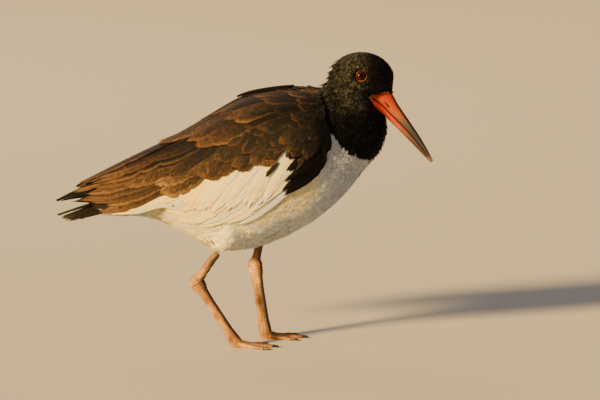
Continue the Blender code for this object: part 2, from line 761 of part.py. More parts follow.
def make_claw(which, leg, toe):
    """A blunt claw, face to face with the end of its toe."""
    foot = leg_point(leg, "foot")
    ahead = toe_direction(leg, toe)
    start = TOE_LENGTHS[toe] + GAP
    path, radii = [], []
    for share, height, radius in ((0.0, 1.5, 1.2), (0.4, 1.5, 1.0), (0.75, 1.15, 0.7), (1.0, 0.6, 0.35)):
        spot = foot + ahead * (start + CLAW_LENGTH * share)
        path.append(Vector((spot.x, spot.y, height)))
        radii.append(radius)
    return tube(f"claw_{toe}_{which}", path, radii, 7, "claw_horn")


# Assembly


def make_head_group():
    head = make_head()
    cutters = [make_bill(part, f"bill_{part}_cutter", GAP) for part in ("upper", "lower")]
    for side, which in ((RIGHT, "right"), (LEFT, "left")):
        cutters.append(make_eye(side, f"eye_cutter_{which}", GAP))
        cutters.append(make_lid(side, f"lid_cutter_{which}", GAP))
    boolean(head, cutters, "DIFFERENCE")
    upper = make_bill("upper", "bill_upper")
    boolean(upper, [nostril_cutter(RIGHT), nostril_cutter(LEFT)], "DIFFERENCE")
    make_bill("lower", "bill_lower")
    for side, which in ((RIGHT, "right"), (LEFT, "left")):
        make_eye(side, f"eye_{which}")
        make_lid(side, f"eye_ring_{which}")


def make_legs():
    for which, leg in LEGS.items():
        make_thigh(which, leg)
        make_shin(which, leg)
        make_tarsus(f"tarsus_{which}", leg)
        for toe in TOE_LENGTHS:
            make_toe(which, leg, toe)
            make_claw(which, leg, toe)


def set_origin_under_the_middle():
    """Shifts everything in x and y so that the middle of the bird's box is over the origin."""
    corners = np.array([v.co for obj in parts.objects for v in obj.data.vertices])
    middle = (corners.min(0) + corners.max(0)) / 2
    for obj in parts.objects:
        obj.data.transform(Matrix.Translation((-middle[0], -middle[1], 0)))


def shade(obj):
    obj.data.shade_smooth()
    obj.data.set_sharp_from_angle(angle=math.radians(40))


def main():
    make_torso()
    make_neck()
    make_head_group()
    make_wing("wing_right", RIGHT)
    make_wing("wing_left", LEFT)
    make_tail()
    make_legs()
    set_origin_under_the_middle()
    for obj in parts.objects:
        shade(obj)


clear_scene()
parts = bpy.data.collections.new("oystercatcher")
bpy.context.scene.collection.children.link(parts)
main()
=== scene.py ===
# %% [markdown]
# # A young oystercatcher, feather by feather
#
# The real bird is a wader about as long as a forearm: a hood of black velvet, a white belly, worn
# brown wings and a bill like an orange chisel. Almost all that we see of it is feather, so this
# lesson spends its time there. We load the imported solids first. They say where every part is, and
# everything made below is fitted to them.

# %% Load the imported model
import math

import bmesh
import bpy
import numpy as np
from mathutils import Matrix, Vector
from mathutils.bvhtree import BVHTree
from mathutils.kdtree import KDTree


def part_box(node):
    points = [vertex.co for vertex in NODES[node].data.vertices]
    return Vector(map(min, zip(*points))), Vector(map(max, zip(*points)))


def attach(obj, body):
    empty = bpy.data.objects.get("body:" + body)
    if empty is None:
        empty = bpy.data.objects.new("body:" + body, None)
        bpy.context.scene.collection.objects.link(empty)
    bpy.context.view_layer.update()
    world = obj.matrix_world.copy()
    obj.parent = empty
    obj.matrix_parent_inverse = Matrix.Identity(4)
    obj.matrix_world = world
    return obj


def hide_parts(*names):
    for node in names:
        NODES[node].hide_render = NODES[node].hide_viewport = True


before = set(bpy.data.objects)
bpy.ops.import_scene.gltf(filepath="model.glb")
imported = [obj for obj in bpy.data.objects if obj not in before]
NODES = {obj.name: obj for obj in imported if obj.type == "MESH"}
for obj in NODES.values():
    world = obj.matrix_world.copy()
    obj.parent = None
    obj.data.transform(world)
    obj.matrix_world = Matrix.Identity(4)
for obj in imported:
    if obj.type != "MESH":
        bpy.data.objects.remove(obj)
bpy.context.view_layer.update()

# %% [markdown]
# ## One ruler for everything
#
# A bird is measured in millimetres, so the tables below are in millimetres too. The solids were
# shifted along X to stand over the origin. The right eye tells us by how much: its centre is a
# known place in the tables, and a known place in the solids.

# %% Millimetres and the shift of the solids
MM = 0.001
RIGHT, LEFT = -1, 1
EYE_CENTRE = np.array((98.1, 14.0, 231.2))
eye_low, eye_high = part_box("eye_right")
SHIFT = (eye_low.x + eye_high.x) / 2 / MM - EYE_CENTRE[0]


def to_world(points):
    """Table millimetres to world metres."""
    return (np.asarray(points, float) + (SHIFT, 0, 0)) * MM


def to_table(points):
    """World metres to table millimetres."""
    return np.asarray(points, float) / MM - (SHIFT, 0, 0)


def unit(vectors):
    """The same directions with a length of one."""
    vectors = np.asarray(vectors, float)
    return vectors / np.maximum(np.linalg.norm(vectors, axis=-1, keepdims=True), 1e-9)


print("the solids are shifted by", round(SHIFT, 2), "mm")

# %% [markdown]
# ## The camera
#
# The photo was taken with a long lens from far away, a little above the bird, square to its
# right side. The far foot stands higher in the picture than the near one, and that gives the
# height of the camera: about nine degrees. A long lens from eight metres draws it the same way.

# %% Camera
PIXEL_MM = 0.85
FRAME_WIDTH_PX = 600
PHOTO_CENTRE = (46.75, 121.5)  # in the middle of the photo: x, and height across the view
ELEVATION = math.radians(8.6)
LENS_MM, SENSOR_MM = 565.0, 36.0

view_up = Vector((0, math.sin(ELEVATION), math.cos(ELEVATION)))
view_back = Vector((0, -math.cos(ELEVATION), math.sin(ELEVATION)))
distance = PIXEL_MM * FRAME_WIDTH_PX * MM * LENS_MM / SENSOR_MM
aim = Vector(((PHOTO_CENTRE[0] + SHIFT) * MM, 0, 0)) + view_up * PHOTO_CENTRE[1] * MM
camera = bpy.data.objects.new("camera", bpy.data.cameras.new("camera"))
bpy.context.scene.collection.objects.link(camera)
camera.data.lens, camera.data.sensor_width = LENS_MM, SENSOR_MM
camera.data.clip_end = 100
camera.location = aim + view_back * distance
camera.rotation_euler = (math.pi / 2 - ELEVATION, 0, 0)
bpy.context.scene.camera = camera
print("camera stands", round(distance, 2), "m away")

# %% [markdown]
# ## Colour and node helpers
#
# Colours are written as the sRGB hex values that a colour picker shows, and one function turns
# them to the linear numbers that Blender wants. One more adds a node with its settings and its
# links, so that a material reads from top to bottom like a recipe.


# %% Helpers for colours, nodes and materials
def colour(code, alpha=1.0):
    """sRGB hex to linear RGBA."""
    channels = [int(code[i : i + 2], 16) / 255 for i in (1, 3, 5)]
    return (*[c / 12.92 if c <= 0.04045 else ((c + 0.055) / 1.055) ** 2.4 for c in channels], alpha)


def add(tree, kind, settings=None, links=None):
    """Adds a node. A setting is a property, an input, or the stops of a ramp. Gives its output."""
    node = tree.nodes.new("ShaderNode" + kind)
    for key, value in (settings or {}).items():
        if key == "stops":
            elements = node.color_ramp.elements
            for _ in value[2:]:
                elements.new(0.5)
            for element, (place, shade) in zip(elements, value):
                element.position = place
                element.color = colour(shade) if isinstance(shade, str) else (shade,) * 3 + (1,)
        elif isinstance(key, str) and hasattr(node, key):
            setattr(node, key, value)
        else:
            node.inputs[key].default_value = colour(value) if isinstance(value, str) else value
    for key, socket in (links or {}).items():
        tree.links.new(socket, node.inputs[key])
    return next(socket for socket in node.outputs if socket.enabled)


def new_material(name, **shader_values):
    """A material with its Principled shader, whose constants are set on the shader itself."""
    material = bpy.data.materials.new(name)
    material.use_nodes = True
    shader = material.node_tree.nodes["Principled BSDF"]
    for key, value in shader_values.items():
        shader.inputs[key.replace("_", " ")].default_value = value
    return material, material.node_tree, shader


MIX = {"data_type": "RGBA"}
MULTIPLY = {**MIX, "blend_type": "MULTIPLY", 0: 1.0}
print("helpers ready")

# %% [markdown]
# ## Floor and light
#
# A museum case: a pale floor that fills the view, one far, warm lamp low on the bird's tail
# side, as the evening sun stands in the photo, a cooler lamp for the breast, a third behind the
# bird and a soft sky.

# %% Floor
# Matte wall paint, rolled on: it throws no shine, so the shadow of the bird stays soft
material, tree, shader = new_material("pale_matte_paint", Roughness=0.85, Specular_IOR_Level=0.2)
shader.inputs["Base Color"].default_value = colour("#CBC1B2")
bpy.ops.mesh.primitive_plane_add(size=60)
floor = bpy.context.object
floor.name = "floor"
floor.data.materials.append(material)
print("floor:", material.name)

# %% Lights
SKY, SKY_STRENGTH = "#CBD8F0", 0.27
BIRD_MIDDLE = Vector((0, 0, 0.13))  # what every lamp looks at
LAMPS = {  # kind, place, spread (radians of a sun, metres of a panel), energy, tint
    "low_sun": ("SUN", (-1.78, -1.54, 0.95), math.radians(9), 12.5, "#FFDA8C"),
    "breast_light": ("AREA", (1.6, -1.5, 0.9), 1.2, 4, "#E3E9FF"),
    "back_light": ("AREA", (-0.9, 1.8, 1.5), 1.0, 14, "#FFE3C2"),
}
for name, (kind, place, spread, energy, tint) in LAMPS.items():
    lamp = bpy.data.objects.new(name, bpy.data.lights.new(name, kind))
    bpy.context.scene.collection.objects.link(lamp)
    setattr(lamp.data, "angle" if kind == "SUN" else "size", spread)
    lamp.data.energy, lamp.data.color = energy, colour(tint)[:3]
    lamp.location = place
    lamp.rotation_euler = (BIRD_MIDDLE - lamp.location).to_track_quat("-Z", "Y").to_euler()

world = bpy.data.worlds.new("studio")
world.use_nodes = True
background = world.node_tree.nodes["Background"].inputs
background["Color"].default_value = colour(SKY)
background["Strength"].default_value = SKY_STRENGTH
bpy.context.scene.world = world
print("lights:", ", ".join(LAMPS))

# %% [markdown]
# ## The shape under the wings
#
# The trunk is a row of sections from tail to neck, each a squarish ellipse. The folded wing lies
# on the same sections, and behind the rump on a roof over the tail. These are the numbers the
# solids were made from, so whatever is laid on this surface meets the solids.

# %% Sections of the trunk and of the bed that the wings lie on
# Back x, z, belly x, z, half width, level of the widest point, squareness
BODY_SECTIONS = {
    "hips": (-52, 174, -47, 92, 35.5, 0.48, 2.2),
    "loins": (-25, 190, -21, 79.5, 42, 0.47, 2.2),
    "belly": (2, 206, 9, 81.8, 46, 0.46, 2.2),
    "ribs": (28, 213, 37, 92.5, 47, 0.46, 2.2),
    "breast": (46, 215.5, 62, 107.5, 45, 0.46, 2.2),
    "shoulders": (58, 216.5, 84, 126.8, 41, 0.45, 2.1),
    "crop": (65, 217.5, 101, 147.5, 36, 0.43, 2.1),
}
WING_BED = {
    "tip": (-158, 121.5, -157, 109, 5, 0.50, 1.9),
    "primaries": (-140, 131, -137, 104, 16, 0.50, 1.9),
    "tertials": (-120, 142, -116, 96, 23, 0.50, 2.0),
    "elbow_end": (-98, 153.5, -93, 98, 27.5, 0.50, 2.0),
    "rump": (-74, 164.5, -68, 102, 31, 0.50, 2.1),
    **BODY_SECTIONS,
}
WING_HEM = [0.50, 0.48, 0.565, 0.64, 0.68, 0.72, 0.68, 0.687, 0.672, 0.70, 0.68, 0.62]
WING_PARTING = [0.25, 0.25, 0.25, 0.25, 0.25, 0.6, 2.0, 5.0, 8.0, 12.0, 15.0, 17.0]
WING_THICKNESS = [2.2, 2.8, 3.4, 4.0, 4.6, 5.2, 5.6, 5.6, 5.6, 5.4, 4.4, 2.4]
WING_FRONT = 10.2  # the place where the slab under the feathers ends
WING_EDGE, VANE_ROOM = 1.3, 2.5  # the slab's thickness at its edge, and the room for vanes on it
GAP = 0.35  # between the trunk and the slab


def at(rows, places):
    """Rows of a table at fractional row numbers, on a smooth curve through the rows."""
    rows = np.array([np.atleast_1d(row) for row in rows], float)
    places = np.atleast_1d(np.asarray(places, float))
    index = np.clip(np.floor(places).astype(int), 0, len(rows) - 2)
    t = (places - index)[:, None]
    a, b, c, d = (rows[np.clip(index + k, 0, len(rows) - 1)] for k in (-1, 0, 1, 2))
    return 0.5 * (
        2 * b + (c - a) * t + (2 * a - 5 * b + 4 * c - d) * t * t + (3 * b - a - 3 * c + d) * t**3
    )


def ring_points(sections, angles):
    """Points of sections at ring angles, which run from the back over the left flank."""
    top, low = sections[:, [0, 1]], sections[:, [2, 3]]
    half_width, level, square = sections[:, 4], sections[:, 5], sections[:, 6]
    centre = top + (low - top) * level[:, None]
    cosine, sine = np.cos(angles), np.sin(angles)
    reach = np.where((cosine >= 0)[:, None], top - centre, low - centre)
    rise = np.abs(cosine) ** (2 / square)
    spread = np.sign(sine) * np.abs(sine) ** (2 / square) * half_width
    side = centre + reach * rise[:, None]
    return np.stack((side[:, 0], spread, side[:, 1]), axis=1)


def wing_bed(places, downs):
    """Points of the left bed. Down runs from the parting on the back (0) to the hem (1)."""
    sections = at(list(WING_BED.values()), places)
    level, square = sections[:, 5], sections[:, 6]
    parting = at(WING_PARTING, places)[:, 0] / sections[:, 4]
    top = np.arcsin(np.clip(parting, 0, 1) ** (square / 2))
    share = at(WING_HEM, places)[:, 0]
    above = np.clip((level - share) / level, 0, 1) ** (square / 2)
    below = np.clip((share - level) / (1 - level), 0, 1) ** (square / 2)
    low = np.where(share <= level, np.arccos(above), math.pi - np.arccos(below))
    return ring_points(sections, top + (low - top) * np.asarray(downs, float))


print("bed sections:", ", ".join(WING_BED))

# %% [markdown]
# Feathers are laid by thousands, so the bed is worked out once on a fine grid, with its normals
# and its two directions, and then read between the grid's points.

# %% The bed as a grid that can be read anywhere
PLACE_STEP, DOWN_STEP = 0.05, 0.0125
PLACES = np.arange(-0.6, 10.8, PLACE_STEP)
DOWNS = np.arange(-0.06, 1.26, DOWN_STEP)
# Over how much of place or down the slab's edges are rounded, and where its hem ends
FRONT_ROUNDING, PARTING_ROUNDING, HEM_ROUNDING, HEM_END = 0.8, 0.10, 0.16, 0.88
PARTED_FROM = 4.5  # behind this place the wings lie on each other


def slab_thickness(places, downs):
    """Thickness of the slab under the vanes, rounded off to its edges."""
    total = at(WING_THICKNESS, np.clip(places, 0, WING_FRONT))[:, 0]
    front = np.clip((WING_FRONT - places) / FRONT_ROUNDING, 0, 1)
    hem = np.clip((HEM_END - downs) / HEM_ROUNDING, 0, 1)
    parting = np.where(places > PARTED_FROM, np.clip(downs / PARTING_ROUNDING, 0, 1), 1.0)
    rounding = np.ones_like(total)
    for share in (front, hem, parting):
        rounding = rounding * np.sqrt(1 - (1 - share) ** 2)
    return WING_EDGE + np.maximum(total - VANE_ROOM - WING_EDGE, 0) * rounding


grid_place, grid_down = (a.ravel() for a in np.meshgrid(PLACES, DOWNS, indexing="ij"))
shape = (len(PLACES), len(DOWNS), 3)
BED = wing_bed(grid_place, grid_down).reshape(shape)
ALONG = np.gradient(BED, PLACES, axis=0)
DOWNWARD = np.gradient(BED, DOWNS, axis=1)
NORMAL = unit(np.cross(ALONG, DOWNWARD))
SLAB = slab_thickness(grid_place, grid_down).reshape(shape[:2] + (1,))
WING_GRID = np.concatenate((BED, NORMAL, ALONG, DOWNWARD, SLAB), axis=2)


def wing_hem(places):
    """How far down the wing's arm reaches. Breast feathers lie over its lower front corner."""
    return np.interp(places, (9.0, 9.7, 10.3), (0.93, 0.88, 0.62))


def read_wing(places, downs):
    """Bed point, normal, both directions and slab thickness, between the grid's points."""
    row = np.clip((np.asarray(places) - PLACES[0]) / PLACE_STEP, 0, len(PLACES) - 1.001)
    column = np.clip((np.asarray(downs) - DOWNS[0]) / DOWN_STEP, 0, len(DOWNS) - 1.001)
    r, c = row.astype(int), column.astype(int)
    fr, fc = (row - r)[..., None], (column - c)[..., None]
    near = WING_GRID[r, c] * (1 - fc) + WING_GRID[r, c + 1] * fc
    far = WING_GRID[r + 1, c] * (1 - fc) + WING_GRID[r + 1, c + 1] * fc
    mixed = near * (1 - fr) + far * fr
    return mixed[..., :3], unit(mixed[..., 3:6]), mixed[..., 6:9], mixed[..., 9:12], mixed[..., 12]


print("bed grid:", WING_GRID.shape)

# %% [markdown]
# ## What every feather mesh carries
#
# Each feather stores its own map in the mesh. `vane` holds millimetres across, along and in from
# the edge, so that barbs, shaft and fringe are drawn at their real size. `tone` holds the shade,
# the strength and paleness of the fringe, and the share of the length from root (0) to tip (1).
# A UV map puts each feather in a small patch at its root's place on an unwrap of the body.


# %% Building a mesh with these maps
PATCH, MAP_MARGIN = 0.003, 0.02  # shares of the whole map


def build_mesh(name, points, faces, material, vane=None, tone=None, uv=None):
    """An object from points in table millimetres and faces, with its maps for each point."""
    mesh = bpy.data.meshes.new(name)
    points, faces = to_world(points).astype(np.float32), np.asarray(faces, np.int32)
    mesh.vertices.add(len(points))
    mesh.vertices.foreach_set("co", points.ravel())
    mesh.loops.add(faces.size)
    mesh.loops.foreach_set("vertex_index", faces.ravel())
    mesh.polygons.add(len(faces))
    starts = np.arange(0, faces.size, faces.shape[1], dtype=np.int32)
    mesh.polygons.foreach_set("loop_start", starts)
    mesh.update(calc_edges=True)
    mesh.polygons.foreach_set("use_smooth", np.ones(len(faces), bool))
    if vane is not None:
        layer = mesh.attributes.new("vane", "FLOAT_VECTOR", "POINT")
        layer.data.foreach_set("vector", np.asarray(vane, np.float32).ravel())
    if tone is not None:
        layer = mesh.attributes.new("tone", "FLOAT_COLOR", "POINT")
        layer.data.foreach_set("color", np.asarray(tone, np.float32).ravel())
    if uv is not None:
        layer = mesh.uv_layers.new(name="OFBake")
        layer.data.foreach_set("uv", np.asarray(uv, np.float32)[faces.ravel()].ravel())
    made = bpy.data.objects.new(name, mesh)
    bpy.context.scene.collection.objects.link(made)
    made.data.materials.append(material)
    return made


def grid_quads(rows, columns, closed=False):
    """Quads over a grid of points. A closed grid joins its last column to its first."""
    steps = np.arange(columns if closed else columns - 1)
    near = np.arange(rows - 1)[:, None] * columns + steps
    beside = near - steps + (steps + 1) % columns
    return np.stack((near, beside, beside + columns, near + columns), 2).reshape(-1, 4)


# The line that the unwrap follows, from tail to forehead, in x and z
SPINE = np.array(
    [(-160, 108), (-104, 122), (-50, 132), (0, 142), (45, 155), (75, 178), (90, 203), (103, 224),
     (124, 205)],
    float,
)


def unwrap(points):
    """Place along the spine and angle around it, as map coordinates."""
    points = np.asarray(points, float)
    flat = points[:, [0, 2]]
    starts, steps = SPINE[:-1], np.diff(SPINE, axis=0)
    offsets = flat[:, None] - starts
    shares = np.clip((offsets * steps).sum(2) / (steps**2).sum(1), 0, 1)
    gaps = np.linalg.norm(offsets - shares[..., None] * steps, axis=2)
    nearest = gaps.argmin(1)
    rows = np.arange(len(points))
    share, step = shares[rows, nearest], unit(steps[nearest])
    offset = offsets[rows, nearest] - share[:, None] * steps[nearest]
    above = offset[:, 1] * step[:, 0] - offset[:, 0] * step[:, 1]
    angle = np.arctan2(points[:, 1], above)
    spot = np.stack((angle / math.tau + 0.5, (nearest + share) / len(steps)), 1)
    return MAP_MARGIN + (1 - 2 * MAP_MARGIN) * spot


print("each feather's patch is", PATCH, "of the map")

# %% [markdown]
# ## The skin under the coat
#
# A mounted bird is a skin drawn over a hard body. We do the same: the solids of the trunk, neck,
# head and thighs are copied, grown by a hair so that they touch, and wrapped by a voxel remesh
# into one closed skin without seams. Then it shrinks by the depth of the coat, which is half a
# millimetre on the face and two on the belly, so that the feathers fill the solids' outline and
# don't stand outside it.


# %% Wrapping solids in one skin
def points_and_faces(mesh):
    """Points in table millimetres and faces of a mesh that has only quads or only triangles."""
    points = np.empty(len(mesh.vertices) * 3)
    mesh.vertices.foreach_get("co", points)
    faces = np.empty(len(mesh.loops), np.int64)
    mesh.loops.foreach_get("vertex_index", faces)
    return to_table(points.reshape(-1, 3)), faces.reshape(len(mesh.polygons), -1)


def point_normals(points, faces):
    """Unit normals at the points, by the area of the faces around them."""
    a, b, c, d = (points[faces[:, k]] for k in (0, 1, 2, -1))
    crossed = np.cross(b - a, c - a) if faces.shape[1] == 3 else np.cross(c - a, d - b)
    total = np.zeros_like(points)
    for corner in faces.T:
        for axis in range(3):
            total[:, axis] += np.bincount(corner, crossed[:, axis], len(points))
    return unit(total)


def smoothed(points, faces, rounds, share=0.5):
    """Moves each point toward the middle of its neighbours, several times."""
    edges = np.concatenate([faces[:, [k, (k + 1) % faces.shape[1]]] for k in range(faces.shape[1])])
    edges = np.unique(np.sort(edges, axis=1), axis=0)
    a, b = np.concatenate((edges, edges[:, ::-1])).T
    count = np.bincount(a, minlength=len(points))[:, None]
    for _ in range(rounds):
        total = np.stack([np.bincount(a, points[b, k], len(points)) for k in range(3)], axis=1)
        points = points + share * (total / count - points)
    return points


def wrap(names, grow, voxel, rounds, extra=()):
    """One closed skin around grown copies of solids: its points, quads and normals."""
    joined = bmesh.new()
    for source in [NODES[name].data for name in names] + list(extra):
        copied = bmesh.new()
        copied.from_mesh(source)
        bmesh.ops.remove_doubles(copied, verts=copied.verts, dist=0.002 * MM)
        copied.normal_update()
        for vertex in copied.verts:
            vertex.co += vertex.normal * grow * MM
        grown = bpy.data.meshes.new("grown")
        copied.to_mesh(grown)
        joined.from_mesh(grown)
        bpy.data.meshes.remove(grown)
        copied.free()
    mesh = bpy.data.meshes.new("joined")
    joined.to_mesh(mesh)
    joined.free()
    holder = bpy.data.objects.new("holder", mesh)
    bpy.context.scene.collection.objects.link(holder)
    remesh = holder.modifiers.new("remesh", "REMESH")
    remesh.mode, remesh.voxel_size = "VOXEL", voxel * MM
    depsgraph = bpy.context.evaluated_depsgraph_get()
    made = bpy.data.meshes.new_from_object(holder.evaluated_get(depsgraph))
    points, faces = points_and_faces(made)
    bpy.data.objects.remove(holder)
    bpy.data.meshes.remove(mesh)
    bpy.data.meshes.remove(made)
    points = smoothed(points, faces, rounds)
    return points, faces, point_normals(points, faces)


def blend(low, high, values):
    """0 below low, 1 above high, with a smooth change between them."""
    share = np.clip((values - low) / (high - low), 0, 1)
    return share * share * (3 - 2 * share)


print("a blend is", blend(0, 1, 0.5), "at its middle")

# %% Body skin
TRUNK = ("torso", "neck", "head", "thigh_right", "thigh_left")
TAIL_ROOT = [  # sections like the trunk's, for the feathered base of the tail
    (-100, 142, -97, 109.5, 17, 0.50, 2.2),
    (-113, 130.5, -110, 109.8, 17.5, 0.50, 2.3),
    (-119, 121.5, -117, 112.4, 14.0, 0.50, 2.4),
]


def closed_loft(sections, sides):
    """A closed mesh through sections, used as a filler for the skin."""
    angles = np.linspace(0, math.tau, sides, endpoint=False)
    rings = [to_world(ring_points(np.repeat([row], sides, 0), angles)) for row in sections]
    filler = bmesh.new()
    rows = [[filler.verts.new(p) for p in ring] for ring in rings]
    for near, far in zip(rows, rows[1:]):
        for k in range(sides):
            filler.faces.new((near[k], near[(k + 1) % sides], far[(k + 1) % sides], far[k]))
    filler.faces.new(rows[0][::-1])
    filler.faces.new(rows[-1])
    bmesh.ops.recalc_face_normals(filler, faces=filler.faces)
    mesh = bpy.data.meshes.new("filler")
    filler.to_mesh(mesh)
    filler.free()
    return mesh


def ellipsoid(centre, radii):
    """A closed ball squeezed to three radii, used as a filler for the skin."""
    ball = bmesh.new()
    bmesh.ops.create_icosphere(ball, subdivisions=3, radius=1)
    for vertex in ball.verts:
        vertex.co = Vector(to_world(np.array(centre) + np.array(vertex.co) * radii))
    mesh = bpy.data.meshes.new("filler")
    ball.to_mesh(mesh)
    ball.free()
    return mesh


# Bare skin at the bill's base, in x and z, and a little round it, where the feathers are thin
BARE = np.array(
    [(105.6, 213.0), (112.2, 214.2), (117.3, 214.8), (120.6, 214.6), (125.8, 211.5), (137, 200),
     (125, 190), (119, 195.9), (115.2, 200.6), (111.0, 203.2), (109.8, 207.2), (106.6, 210.8)]
)
FLECKED = BARE.mean(0) + (BARE - BARE.mean(0)) * 1.13

# Depth of the coat in millimetres, and how far the bare skin lies under the bill's horn
BELLY_COAT, THIGH_COAT, TAIL_COAT, BACK_COAT, FACE_COAT, BARE_DIP = 2.2, 1.1, 1.0, 1.0, 0.6, 3.0


def inside(points, outline):
    """Which points of the side view lie in an outline."""
    x, z = points[:, 0, None], points[:, 2, None]
    (ax, az), (bx, bz) = outline.T, np.roll(outline, -1, axis=0).T
    crossing = (az > z) != (bz > z)
    cut = ax + (z - az) * (bx - ax) / np.where(bz == az, 1e-9, bz - az)
    return ((crossing & (x < cut)).sum(1) % 2).astype(bool)


def is_back(points):
    """Between the wings, where the feathers are brown."""
    top = np.interp(points[:, 0], (-60, -25, 2, 28, 46, 69), (168, 186, 202, 209, 211, 212))
    reach = np.interp(points[:, 0], (50, 64), (7, 3))
    return (points[:, 0] < 65) & (points[:, 0] > -62) & (points[:, 2] > top - reach)


def coat_depth(points):
    """How deep the feathers stand on the skin: thin on the face, deep on the belly."""
    head = blend(170, 212, points[:, 2]) * blend(55, 75, points[:, 0])
    tail = blend(-85, -112, points[:, 0])
    thigh = blend(96, 86, points[:, 2]) * blend(14, 20, np.abs(points[:, 1]))
    depth = BELLY_COAT + head * (FACE_COAT - BELLY_COAT)
    depth = depth + tail * (TAIL_COAT - depth)
    depth = depth + thigh * (THIGH_COAT - depth)
    return np.where(is_back(points), BACK_COAT, depth) + BARE_DIP * inside(points, BARE)


chin = ellipsoid((107.5, 0, 190.5), (13.0, 12.5, 10.5))
tail_root = closed_loft(TAIL_ROOT, 24)
skin_points, skin_faces, skin_normals = wrap(
    TRUNK, grow=0.32, voxel=1.35, rounds=4, extra=(tail_root, chin)
)
skin_points = skin_points - skin_normals * coat_depth(skin_points)[:, None]
skin_points = smoothed(skin_points, skin_faces, rounds=3)

# Down fills the crease between thigh and belly, so the skin there is smoothed much longer
calmed = smoothed(skin_points, skin_faces, rounds=80)
x, y, z = skin_points.T
crease = blend(106, 98, z) * blend(12, 16, np.abs(y)) * blend(44, 34, np.abs(x))
skin_points = skin_points + (calmed - skin_points) * crease[:, None]
skin_normals = point_normals(skin_points, skin_faces)
skin_tree = BVHTree.FromPolygons([Vector(p) for p in skin_points], skin_faces.tolist())
print("skin:", len(skin_faces), "quads")

# %% [markdown]
# ## Which way the feathers lie, and what colour they are
#
# Feathers point away from the bill and flow to the tail. A table of guides gives, for places on
# the side of the bird, the direction, length and width of the feathers there, and each feather
# takes a mean of the guides near it. The colours come from one function, used for the skin and
# for every feather, so that both always agree: a black hood down to a ragged edge on the breast,
# brown between the wings, and white elsewhere. The white carries painted light: creamy as painted
# sunlight toward the lamp and bluish as painted shade on the breast. The grey of the cheek is
# partly painted light too.

# %% Guides for the lie of the feathers
FLOW = {  # x, z, direction in x and z, length, width
    "forehead": (121, 217, -0.25, 1.0, 2.6, 1.7),
    "brow": (112, 238, -0.8, 0.75, 3.2, 2.0),
    "crown": (100, 248, -1.0, 0.05, 4.2, 2.5),
    "back_of_head": (80, 240, -0.8, -0.7, 4.8, 2.5),
    "nape": (71, 222, -0.6, -0.9, 6.2, 2.9),
    "face": (111, 222, -0.9, 0.2, 2.6, 1.7),
    "cheek": (95, 214, -0.9, -0.5, 4.0, 2.4),
    "chin": (111, 199, -0.55, -0.8, 3.2, 2.0),
    "throat": (112, 184, -0.2, -1.0, 5.0, 2.8),
    "neck_side": (90, 188, -0.35, -1.0, 6.6, 3.0),
    "bib": (103, 168, -0.3, -1.0, 7.0, 2.8),
    "bib_edge": (84, 173, -0.45, -1.0, 6.5, 2.7),
    "shoulder": (66, 190, -0.7, -0.7, 9.0, 5.0),
    "breast": (95, 145, -0.5, -0.9, 11.0, 5.6),
    "low_breast": (75, 118, -0.8, -0.65, 13.0, 6.2),
    "belly": (35, 92, -1.0, -0.22, 15.0, 6.4),
    "rear_belly": (-25, 82, -1.0, 0.10, 14.0, 6.0),
    "vent": (-65, 100, -1.0, 0.06, 13.0, 5.0),
    "undertail": (-110, 109, -1.0, 0.02, 14.0, 5.6),
    "mantle": (50, 217, -1.0, -0.05, 12.5, 8.5),
    "back": (0, 205, -1.0, -0.3, 14.0, 9.5),
    "rump": (-70, 162, -0.9, -0.45, 13.0, 7.0),
    "flank": (20, 130, -1.0, -0.25, 14.0, 6.0),
    "thigh": (-10, 92, -0.5, -1.0, 10.5, 3.6),
    "thigh_rear": (-32, 91, -0.75, -0.55, 9.5, 4.2),
}
GUIDES = np.array(list(FLOW.values()), float)
GUIDE_BLUR = 1.5  # millimetres round a guide within which it doesn't rule alone
HOOD = np.array(  # the black hood, in x and z
    [(50, 226), (58, 202), (67, 184.5), (74.5, 183.5), (76.5, 181), (79, 176.5), (82.5, 172.5),
     (88.4, 166.5), (95.2, 161.5), (102, 159.4), (108.8, 158.6), (113, 160.5), (150, 161),
     (160, 262), (62, 262)],
    float,
)
HOOD_FRAY = 3.4  # millimetres over which black and white feathers mix at its edge


def guided(points):
    """Direction, length and width of the feathers at points."""
    gaps = np.linalg.norm(points[:, None, [0, 2]] - GUIDES[:, :2], axis=2)
    weights = 1 / (gaps + GUIDE_BLUR) ** 3
    weights /= weights.sum(1, keepdims=True)
    mean = weights @ GUIDES[:, 2:]
    direction = unit(np.stack((mean[:, 0], np.zeros(len(points)), mean[:, 1]), 1))
    return direction, mean[:, 2], mean[:, 3]


def plumage(points, random):
    """0 white, 1 black, 2 brown, and the shade within that colour."""
    fray = np.stack((random[:, 0] - 0.5, 0 * random[:, 0], random[:, 1] - 0.5), 1) * HOOD_FRAY
    kind = np.where(is_back(points), 2, np.where(inside(points + fray, HOOD), 1, 0))
    x, _, z = points.T

    # The cheek and the lore before the eye are worn and grey, the rest of the hood is jet. The
    # cheek's grey is partly painted light: paler where the low sun falls on the side of the head,
    # and painted darker toward the nape, where the lamp strikes harder
    cheek = blend(114, 100, x) * blend(191, 205, z) * (1 - 0.4 * blend(90, 72, x))
    lore = 0.8 * blend(125, 115, x) * blend(232, 222, z) * blend(204, 212, z)
    black = np.clip(0.02 + 0.60 * np.maximum(cheek, lore), 0, 1)

    # The breast is painted bluish as painted shade, and the flank over a slanting edge is painted
    # creamy as painted sunlight on white feathers
    painted_breast_shade = blend(45, 85, x) * blend(190, 168, z)
    edge = np.interp(x, (-30, -10, 20, 50, 64), (70, 92, 110, 120, 132))
    lit = blend(-8, 8, z - edge) * blend(78, 55, x) * blend(-95, -60, x)
    white = np.clip(0.30 - 0.24 * painted_breast_shade + 0.28 * lit, 0, 1)
    shade = np.choose(kind, (white, black, np.full(len(points), 0.28)))
    variety = np.choose(kind, (0.14, 0.08 + 0.42 * black, 0.4))
    return kind, np.clip(shade + (random[:, 2] - 0.5) * variety, 0, 1)


print(len(FLOW), "guides for the lie of the feathers")

